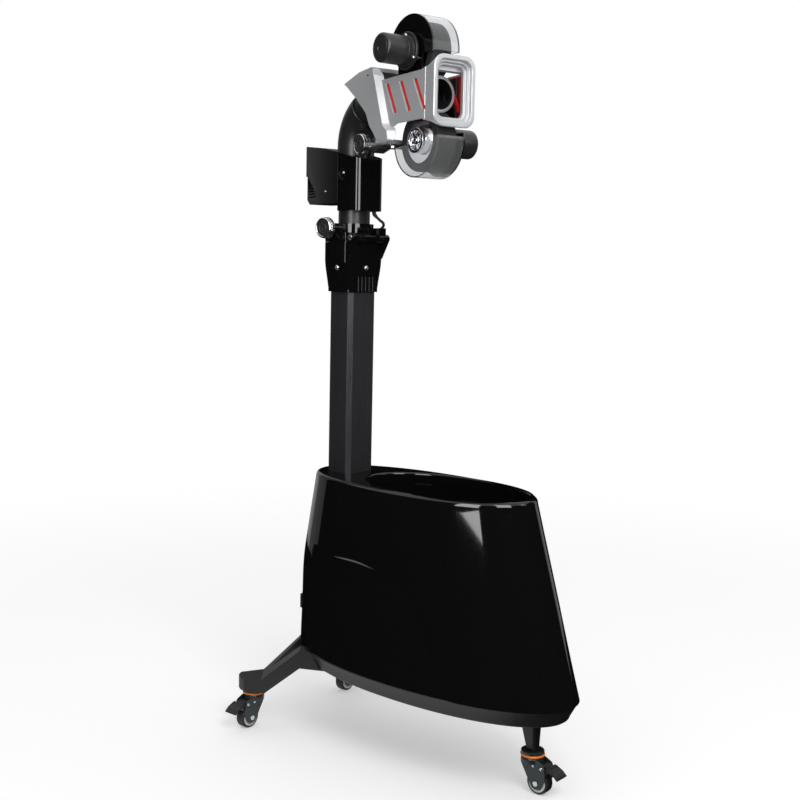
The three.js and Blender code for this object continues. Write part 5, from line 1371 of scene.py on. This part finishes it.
def add_tilt_bolt():
    centre = (-tilt_forward, tilt_z)
    top = bolt_seat + bolt_head_length
    bolt = turned("hex_bolt", "x", [
        (0, bolt_low), (knob_shaft - 0.6, bolt_low), (knob_shaft, bolt_low + 0.6),
        (knob_shaft, bolt_seat + 0.5), (0, bolt_seat + 0.5)], centre, 64)
    head = turned("bolt_head", "x", [
        (0, bolt_seat), (bolt_head_radius, bolt_seat), (bolt_head_radius, top - 0.7),
        (bolt_head_radius - 1, top), (0, top)], centre, 6)
    carve(bolt, add=[head])
    soften(bolt, 0.2, 2, 40)
    put(bolt, mast_place())
    dress(bolt, steel, "steel", "tilt_bolt")


add_tilt_bolt()


# Head housing. The silver-painted moulding round the throwing wheels: two wings
# beside the collar, slotted side panels, a strap below and a stepped square mouth.
panel_outer = 36
panel_inner = 33
wing_outer = 44
wing_wall = 4
mouth_half = 37
mouth_low = 958
mouth_high = 1058
mouth_corner = 18
flare_levels = [(222, 35.6, 968, 1039, 2), (229, 35.9, 966.8, 1041, 3), (236, 36.2, 965, 1045.5, 6),
                (240, 36.6, 962.6, 1050, 11), (244, 36.9, 960, 1054.4, 15), (247, 37, 958.6, 1056.9, 17),
                (248.8, 37, 958, 1058, 18)]
lip_steps = [(250, 1.2), (250, 6.2), (249.3, 6.8), (248.6, 7), (245.6, 7), (245, 7.4), (245, 10.3),
             (244.4, 10.9), (243.8, 11), (241.6, 11), (241, 11.4), (241, 13.8), (240.4, 14.4),
             (239.8, 14.5), (234.5, 14.5)]
wing_outline = [(33, 1036), (73, 1049), (107, 1053), (110.6, 1041.6), (136, 966), (147, 957.7),
                (151, 943.6), (141, 941.3), (120, 948), (101, 968.6), (92, 987), (67, 1009.6)]
wing_rounds = [1.5, 30, 6, 12, 14, 6, 3, 3, 14, 14, 14, 20]
wing_stepped = (3, 4, 5)
wing_room = [(28, 1060), (104, 1060), (107, 1036), (131, 966), (141, 955), (144, 947.2), (124, 930),
             (60, 990), (20, 1030)]
hood_outline = [(33, 1036), (73, 1049), (107, 1053), (109, 1046.6), (107, 1049.6), (73, 1045.8),
                (34.2, 1033.1)]
panel_outline = [(112, 1036), (119, 1033), (219, 1038), (228, 1041), (228, 968), (226, 970), (160, 967.5),
                 (148, 962), (138, 962)]
room_rounds = [1, 2, 10, 10, 4, 4, 4, 10, 1]
strap = (119, 941, 138, 947)
throat = (972, 1037, 3)
eyelet_outline = [(91.5, 1040.4), (98, 1041.4), (98, 1043.4), (91.5, 1042.4)]
slot_half = 4
slot_high = 1027
slot_low = 982.5
slot_places = [(135, 156.5), (169, 191), (203, 226.5)]
throw_z = tilt_z + tilt_forward
upper_wheel_spot = (175, 1068.5)
lower_wheel_spot = (192, 942.5)
wheel_radius = 44.5
wheel_room = 18.6

silver_paint = surface("silver_paint", (0.56, 0.57, 0.585), 0.36, 0.4, grain=0.3, grain_size=0.25,
                       bump=0.035, tint=0.06)


def rounded_rect(half, low, high, radius, forward, steps=10):
    ring = []
    for cx, cz, start in ((half - radius, low + radius, -90), (half - radius, high - radius, 0),
                          (-half + radius, high - radius, 90), (-half + radius, low + radius, 180)):
        for k in range(steps + 1):
            a = math.radians(start + 90 * k / steps)
            ring.append(Vector((cx + radius * math.cos(a), -forward, cz + radius * math.sin(a))))
    return ring


def mouth_skin():
    """The flare and its stepped lips as one closed run of rounded squares."""
    rings = []
    for forward, half, low, high, radius in flare_levels:
        rings.append(rounded_rect(half, low, high, radius, forward))
    for forward, inset in lip_steps:
        rings.append(rounded_rect(mouth_half - inset, mouth_low + inset, mouth_high - inset,
                                  mouth_corner - 0.6 * inset, forward))
    for forward in (lip_steps[-1][0], flare_levels[0][0]):
        rings.append(rounded_rect(panel_inner, *throat, forward))
    return loft("head", rings, closed=True)


def slot_outline(slot, inset):
    top, bottom = slot
    half = slot_half - inset
    return [(top - half, slot_high - inset), (bottom - half, slot_low + inset),
            (bottom + half, slot_low + inset), (top + half, slot_high - inset)]


def wheel_rooms(extra=2.0):
    return [rod("room", "x", -wheel_room, wheel_room, wheel_radius + extra, (-spot[0], spot[1]), 96)
            for spot in (upper_wheel_spot, lower_wheel_spot)]


def head_wing(side):
    inner = [(f + (wing_outer - panel_inner if k in wing_stepped else 0), z)
             for k, (f, z) in enumerate(wing_outline)]
    rings = []
    for outline, x in ((wing_outline, wing_outer), (inner, panel_inner)):
        rings.append([Vector((side * x, -f, z)) for f, z in rounded(outline, wing_rounds, 5)])
    wing = loft("wing", rings)
    low, high = on_side(side, panel_inner - 5, wing_outer - wing_wall)
    return carve(wing, cut=[prism("wing_room", "x", rounded(wing_room, room_rounds), low, high)])


def add_head():
    head = mouth_skin()
    parts = [prism("hood", "x", hood_outline, -wing_outer + 0.02, wing_outer - 0.02)]
    parts.append(prism("band", "x", rectangle(*strap), -wing_outer + 0.03, wing_outer - 0.03))
    for side in (-1, 1):
        parts.append(head_wing(side))
        low, high = on_side(side, panel_inner, panel_outer)
        parts.append(prism("panel", "x", panel_outline, low, high))
    cuts = [prism("slot", "x", rounded(slot_outline(slot, 0), [1.5] * 4, 4), -60, 60)
            for slot in slot_places]
    cuts.append(prism("eyelet", "x", rounded(eyelet_outline, [0.9] * 4, 3), -60, 60))
    carve(head, add=parts, cut=cuts + wheel_rooms())
    soften(head, 0.7, 3, 26, clamp=False, near=0.06)
    put(head, mast_place())
    dress(head, silver_paint, "silver_paint", "head_housing")


add_head()


# Inserts and liners. Behind each side panel lies a red moulding whose three bars
# fill the slots, and inside it a dark liner that carries the motor plate.
liner_inner = 27
bar_setback = 2.2


def add_inserts():
    for name, side in (("right", -1), ("left", 1)):
        bars = from_node(f"red_insert_{name}", f"insert_{name}")
        low, high = on_side(side, panel_outer - bar_setback, panel_outer + 5)
        slab = prism("slab", "x", rectangle(90, 950, 260, 1070), low, high)
        carve(bars, cut=[put(slab, mast_place())])
        soften(bars, 0.3 * mm, 2, 35, near=node_near)
        dress(bars, red_plastic, "red_plastic", f"insert_{name}")
        soft_node(f"dark_liner_{name}", f"liner_{name}", 0.5, black_plastic, "black_plastic")
        low, high = on_side(side, liner_inner - 0.5, liner_inner + 1)
        for k, slot in enumerate(slot_places):
            outline = rounded(slot_outline(slot, 0.3), [1.2] * 4, 3)
            bar = prism(f"inner_bar_{name}_{k + 1}", "x", outline, low, high)
            carve(bar, cut=wheel_rooms(4.0))
            put(shade(bar), mast_place())
            dress(bar, red_plastic, "red_plastic", body="head")


add_inserts()


# Outlet tube. A dark moulded inlet bend and a straight barrel past both wheels,
# windowed for them and for a peep hole, with a pale ring pressed on its end.
inlet_radius = 24.6
barrel_radius = 24
barrel_bore = 21.6
barrel_end = 217
peep_forward = 204
peep_radius = 7
ring_radius = 26


def add_outlet():
    steps = 20
    rings = [arc_ring(inlet_radius, 28 + 62 * k / steps) for k in range(steps + 1)]
    straight = [Vector((p.x, -tilt_forward - 1, p.z)) for p in arc_ring(barrel_radius, 90)]
    ends = [Vector((p.x, -barrel_end + 1, p.z)) for p in straight]
    body = loft("barrel", rings + [straight, ends])
    bore = [arc_ring(ball_bore, 26 + 64 * k / steps) for k in range(steps + 1)]
    bore.append([Vector((p.x, -tilt_forward - 1, p.z)) for p in arc_ring(barrel_bore, 90)])
    bore.append([Vector((p.x, -barrel_end - 5, p.z)) for p in bore[-1]])
    peep = rod("peep", "x", -40, 40, peep_radius, (-peep_forward, throw_z))
    carve(body, cut=[loft("bore", bore), *wheel_rooms(), peep])
    soften(body, 0.4, 2, 32)
    put(body, mast_place())
    dress(body, black_plastic, "black_plastic", "outlet_tube")
    seat = barrel_radius + 0.2
    profile = [(barrel_bore, 0), (ring_radius - 0.6, 0), (ring_radius, 0.6), (ring_radius, 2.4),
               (ring_radius - 0.6, 3), (seat, 3), (seat, 0.9), (barrel_bore, 0.9), (barrel_bore, 0)]
    ring = turned("outlet_ring", "y", [(radius, rise - barrel_end) for radius, rise in profile],
                  (0, throw_z), 96)
    put(shade(ring, 50), mast_place())
    dress(ring, silver_paint, "silver_paint", body="head")


add_outlet()


# Motors. Two alike, one over and one under the barrel: a satin black can with a
# rounded end and a front flange, held off its plate by three bright standoffs.
motor_radius = 21
motor_end = 77
motor_flange = (29, 33, 27)
standoff_count = 3
standoff_circle = 22.5
plate_inner = 22
plate_outer = 24.2
guard_radius = 53
tongue_half = 29


def wheel_place(spot, side):
    """Turns a piece drawn along +X to one side of a wheel's axis."""
    turn = Matrix.Identity(4) if side > 0 else Matrix.Rotation(math.pi, 4, "Z")
    return mast_place() @ Matrix.Translation((0, -spot[0], spot[1])) @ turn


def add_motor(name, spot, side):
    place = wheel_place(spot, side)
    back, front, flange = motor_flange
    can = turned(f"{name}_can", "x", [
        (0, -8.5), (4, -8.5), (4, back), (flange - 0.6, back), (flange, back + 0.6), (flange, front - 0.6),
        (flange - 0.6, front), (motor_radius + 0.6, front), (motor_radius, front + 0.8),
        (motor_radius, 41), (motor_radius - 0.4, 41.3), (motor_radius - 0.4, 42), (motor_radius, 42.3),
        (motor_radius, motor_end - 3.2), (motor_radius - 0.5, motor_end - 1.6),
        (motor_radius - 1.6, motor_end - 0.5), (motor_radius - 3.2, motor_end),
        (motor_radius - 3.8, motor_end), (motor_radius - 4.2, motor_end - 0.6),
        (motor_radius - 5.2, motor_end - 0.6), (motor_radius - 5.6, motor_end), (7, motor_end),
        (6.6, motor_end - 0.8), (0, motor_end - 0.8)], sides=128)
    put(shade(can, 28), place)
    dress(can, satin_black, "black_plastic", f"{name}_motor")
    post = turned("post", "z", [(0, plate_outer + 0.3), (2.6, plate_outer + 0.3), (2.6, back + 0.5),
                                (0, back + 0.5)], sides=24)
    posts = repeat(f"{name}_standoffs", round_tree, post, standoff_count, standoff_circle, steel)
    put(posts, place @ Matrix.Rotation(math.pi / 2, 4, "Y") @ Matrix.Rotation(math.pi, 4, "Z"))
    dress(shade(posts, 50), steel, "steel", body="head")
    bolt = screw("bolt", 2.4, Matrix.Rotation(-math.pi / 2, 4, "Y"))
    bolts = repeat(f"{name}_flange_screws", round_tree, bolt, standoff_count, standoff_circle, steel)
    put(bolts, place @ Matrix.Translation((front, 0, 0)) @ Matrix.Rotation(math.pi / 2, 4, "Y")
        @ Matrix.Rotation(math.pi, 4, "Z"))
    dress(shade(bolts, 35), steel, "steel", body="head")


add_motor("upper", upper_wheel_spot, -1)
add_motor("lower", lower_wheel_spot, 1)


# Motor plates. Glossy black sheet discs over the open side of each wheel, with a
# tongue that drops between the head's panels and is screwed to the liner.
def add_motor_plates():
    for name, spot, side, limit, edge in (
            ("upper", upper_wheel_spot, -1, 1064, 1019), ("lower", lower_wheel_spot, 1, 953, 992)):
        forward, z = spot
        low, high = on_side(side, plate_inner, plate_outer)
        disc = rod(f"{name}_plate", "x", low, high, guard_radius, (-forward, z), 160)
        foot, top = sorted((limit, limit + side * 120))
        knife = prism("knife", "x", rectangle(forward - 60, foot, forward + 60, top), low - 1, high + 1)
        foot, top = sorted((limit - side, edge))
        tongue = prism("tongue", "x", rectangle(forward - tongue_half, foot, forward + tongue_half, top),
                       low + 0.01, high - 0.01)
        carve(disc, cut=[knife])
        carve(disc, add=[tongue], cut=[rod("shaft", "x", low - 5, high + 5, 7, (-forward, z))])
        soften(disc, 0.5, 2, 35)
        put(disc, mast_place())
        dress(disc, gloss_black, "gloss_black", f"{name}_motor_plate")


add_motor_plates()


# Guards. Clear smoked half drums of moulded polycarbonate, one over each wheel,
# open toward the motor plate and closed by a disc with a hole for the hub.
guard_wall = 2
guard_half = 24.5
guard_disc = 2.2
guard_hole = 19.6
guard_gap = 0.3

clear = surface("clear", (0.84, 0.85, 0.86), 0.03, grain=0.2, grain_size=4, bump=0.003, tint=0.02,
                Transmission_Weight=0.96, IOR=1.35)


def add_guard(name, spot, side, angle, forward, z, keep_above):
    rim = guard_gap - plate_inner
    inner = guard_radius - guard_wall
    under = guard_half - guard_disc
    profile = [(inner, rim), (guard_radius, rim), (guard_radius, guard_half - 1),
               (guard_radius - 0.3, guard_half - 0.3), (guard_radius - 1, guard_half),
               (guard_hole, guard_half), (guard_hole, under), (inner, under), (inner, rim)]
    drum = turned(f"{name}_guard_shell", "x", [(radius, -side * along) for radius, along in profile],
                  (-spot[0], spot[1]), 160)
    size = 120
    low, high = (-size, 0) if keep_above else (0, size)
    knife = prism("knife", "x", rectangle(-size, low, size, high), -size, size)
    put(knife, Matrix.Translation((0, -forward, z)) @ Matrix.Rotation(math.radians(angle), 4, "X"))
    carve(drum, cut=[knife])
    soften(drum, 0.35, 2, 40)
    put(drum, mast_place())
    dress(drum, clear, "clear", f"{name}_guard")


add_guard("upper", upper_wheel_spot, -1, 0, upper_wheel_spot[0], 1066, True)
add_guard("lower", lower_wheel_spot, 1, -7.7, 140.5, 932.8, False)


# Throwing wheels. A chromed turned hub with five spokes and a centre nut, keyed
# to the motor's shaft, and a black foam rubber tyre bonded round it.
tyre_depth = 12
tyre_half = 17
tyre_round = 3
hub_ring = 18.5
hub_hole = 14
hub_reach = 25.6
dish_face = 19
spoke_count = 5
spoke_outline = [(5.5, -2.1), (14.5, -3.0), (14.5, 3.0), (5.5, 2.1)]
spoke_height = 4.6

tyre_rubber = surface("tyre_rubber", (0.010, 0.010, 0.0105), 0.80, grain_size=0.9, bump=0.35)


def add_wheel(name, spot, side):
    place = wheel_place(spot, -side)
    seat = wheel_radius - tyre_depth - 0.3
    hub = turned(f"{name}_hub", "x", [
        (0, 9), (0, 24.6), (2.5, 24.6), (3.2, 24), (6, 24), (6.5, 23.5), (6.5, dish_face),
        (hub_hole, dish_face - 1), (hub_hole, hub_reach - 1.2), (hub_hole + 0.4, hub_reach - 0.3),
        (hub_hole + 1.4, hub_reach),
        (hub_ring - 1.4, hub_reach), (hub_ring - 0.4, hub_reach - 0.4), (hub_ring, hub_reach - 1.4),
        (hub_ring, 15), (seat, 15), (seat, -15), (4.3, -15), (4.3, 9), (0, 9)], sides=128)
    put(shade(hub, 30), place)
    dress(hub, chrome, "chrome", f"{name}_wheel_hub")
    spoke = prism("spoke", "z", rounded(spoke_outline, [0.6] * 4, 3), 0, spoke_height)
    soften(spoke, 0.9, 3, 40)
    put(spoke, Matrix.Translation((-9, 0, 0)))
    spokes = repeat(f"{name}_wheel_spokes", round_tree, spoke, spoke_count, 9, chrome)
    put(spokes, place @ Matrix.Translation((dish_face - 0.6, 0, 0)) @ Matrix.Rotation(math.pi / 2, 4, "Y"))
    dress(shade(spokes, 40), chrome, "chrome", body=f"{name}_wheel")
    tyre_profile = [(wheel_radius - tyre_depth, -tyre_half), (wheel_radius - tyre_round, -tyre_half)]
    tyre_profile += [(wheel_radius - tyre_round + tyre_round * math.sin(a),
                      tyre_round - tyre_half - tyre_round * math.cos(a))
                     for a in (math.pi / 2 * k / 6 for k in range(1, 7))]
    tyre_profile += [(r, -h) for r, h in reversed(tyre_profile)]
    tyre = turned(f"{name}_wheel_tread", "x", tyre_profile + [tyre_profile[0]], sides=160)
    put(shade(tyre, 40), place)
    dress(tyre, tyre_rubber, "rubber", f"{name}_wheel_tyre")


add_wheel("upper", upper_wheel_spot, -1)
add_wheel("lower", lower_wheel_spot, 1)


# Studio. A pale floor that fades into the white surround, one broad soft light over
# the left shoulder of the camera, and upright screens that only reflections see:
# dark cloth all round, and lit panels before it that draw the gloss's highlights.
floor_half = 6
floor_lift = 0.32
floor_fade = (0.7, 2.4)
world_level = 0.62
key_place = (-1.0, -1.7, 2.3)
key_aim = (0, 0, 0.6)
key_side = 1.2
key_power = 26
cloth_radius = 2.6
cloth_top = 2.2
panel_radius = 1.7
apron_inner = 0.40
lit_panels = [("panel_side", 188, 208, 0.50, 1.9, 8.0), ("panel_front", 229, 254, 0.82, 1.9, 7.5),
              ("panel_mouth", 283, 301, 1.12, 1.9, 2.6), ("panel_rear", 56, 80, -0.2, 2.6, 0.5),
              ("panel_rear_edge", 80, 100, -0.2, 2.6, 0.2), ("panel_left", 332, 350, -0.2, 2.6, 0.5)]


def seen_ray(tree):
    """One for the rays of the camera, of mirrors and of clear pieces, and zero for the light's own."""
    path = tree.nodes.new("ShaderNodeLightPath").outputs
    mirror = maths(tree, "MAXIMUM", path["Is Camera Ray"], path["Is Glossy Ray"])
    return maths(tree, "MAXIMUM", mirror, path["Is Transmission Ray"])


def floor_material():
    material = bpy.data.materials.new("floor")
    material.use_nodes = True
    nodes = material.node_tree.nodes
    links = material.node_tree.links
    principled = nodes["Principled BSDF"]
    principled.inputs["Base Color"].default_value = (0.86, 0.86, 0.86, 1)
    principled.inputs["Roughness"].default_value = 0.9
    principled.inputs["Specular IOR Level"].default_value = 0
    seen = seen_ray(material.node_tree)
    lift = maths(material.node_tree, "MULTIPLY", seen, floor_lift)
    principled.inputs["Emission Color"].default_value = (1, 1, 1, 1)
    links.new(lift, principled.inputs["Emission Strength"])
    where = nodes.new("ShaderNodeTexCoord")
    away = nodes.new("ShaderNodeVectorMath")
    away.operation = "LENGTH"
    links.new(where.outputs["Object"], away.inputs[0])
    fade = nodes.new("ShaderNodeMapRange")
    fade.interpolation_type = "SMOOTHSTEP"
    fade.inputs["From Min"].default_value = floor_fade[0]
    fade.inputs["From Max"].default_value = floor_fade[1]
    links.new(away.outputs["Value"], fade.inputs["Value"])
    share = maths(material.node_tree, "MULTIPLY", fade.outputs["Result"], seen)
    white = nodes.new("ShaderNodeEmission")
    mix = nodes.new("ShaderNodeMixShader")
    links.new(share, mix.inputs["Fac"])
    links.new(principled.outputs["BSDF"], mix.inputs[1])
    links.new(white.outputs["Emission"], mix.inputs[2])
    links.new(mix.outputs["Shader"], nodes["Material Output"].inputs["Surface"])
    return material


def add_floor():
    a = floor_half
    floor = make("floor", [(-a, -a, 0), (a, -a, 0), (a, a, 0), (-a, a, 0)], [(0, 1, 2, 3)])
    floor.data.materials.append(floor_material())


def add_world():
    world = bpy.data.worlds.new("studio")
    world.use_nodes = True
    scene.world = world
    nodes = world.node_tree.nodes
    links = world.node_tree.links
    background = nodes["Background"]
    level = nodes.new("ShaderNodeMapRange")
    level.inputs["To Min"].default_value = world_level
    level.inputs["To Max"].default_value = 1.0
    links.new(seen_ray(world.node_tree), level.inputs["Value"])
    links.new(level.outputs["Result"], background.inputs["Strength"])
    background.inputs["Color"].default_value = (1, 1, 1, 1)


def add_light(name, place, aim, size, power):
    data = bpy.data.lights.new(name, "AREA")
    data.shape = "RECTANGLE"
    data.size = size[0]
    data.size_y = size[1]
    data.energy = power
    light = new_object(name, data)
    turn = (Vector(aim) - Vector(place)).to_track_quat("-Z", "Y")
    light.matrix_world = Matrix.Translation(place) @ turn.to_matrix().to_4x4()
    light.visible_camera = False
    return light


def add_screen(name, first, last, edges, glow=0):
    """A screen round the column from one angle to another, between two (radius, height) edges."""
    material = bpy.data.materials.new(name)
    material.use_nodes = True
    principled = material.node_tree.nodes["Principled BSDF"]
    principled.inputs["Base Color"].default_value = (0.004, 0.004, 0.004, 1)
    principled.inputs["Roughness"].default_value = 1
    principled.inputs["Specular IOR Level"].default_value = 0
    principled.inputs["Emission Color"].default_value = (1, 1, 1, 1)
    principled.inputs["Emission Strength"].default_value = glow
    steps = max(2, round((last - first) / 6))
    points = []
    for k in range(steps + 1):
        angle = math.radians(first + (last - first) * k / steps)
        points += [(column_axis.x + radius * math.cos(angle), column_axis.y + radius * math.sin(angle), z)
                   for radius, z in edges]
    screen = make(name, points, [(2 * k, 2 * k + 2, 2 * k + 3, 2 * k + 1) for k in range(steps)])
    screen.data.materials.append(material)
    screen.visible_camera = False
    screen.visible_diffuse = False
    screen.visible_shadow = False
    screen.visible_transmission = False


def add_studio():
    add_floor()
    add_world()
    add_screen("dark_cloth", 0, 360, [(cloth_radius, -0.2), (cloth_radius, cloth_top)])
    add_screen("dark_apron", 0, 360, [(apron_inner, 0.003), (cloth_radius, 0.003)])
    for name, first, last, low, high, glow in lit_panels:
        add_screen(name, first, last, [(panel_radius, low), (panel_radius, high)], glow)
    add_light("key", key_place, key_aim, (key_side, key_side), key_power)
    scene.view_settings.view_transform = "Standard"


add_studio()
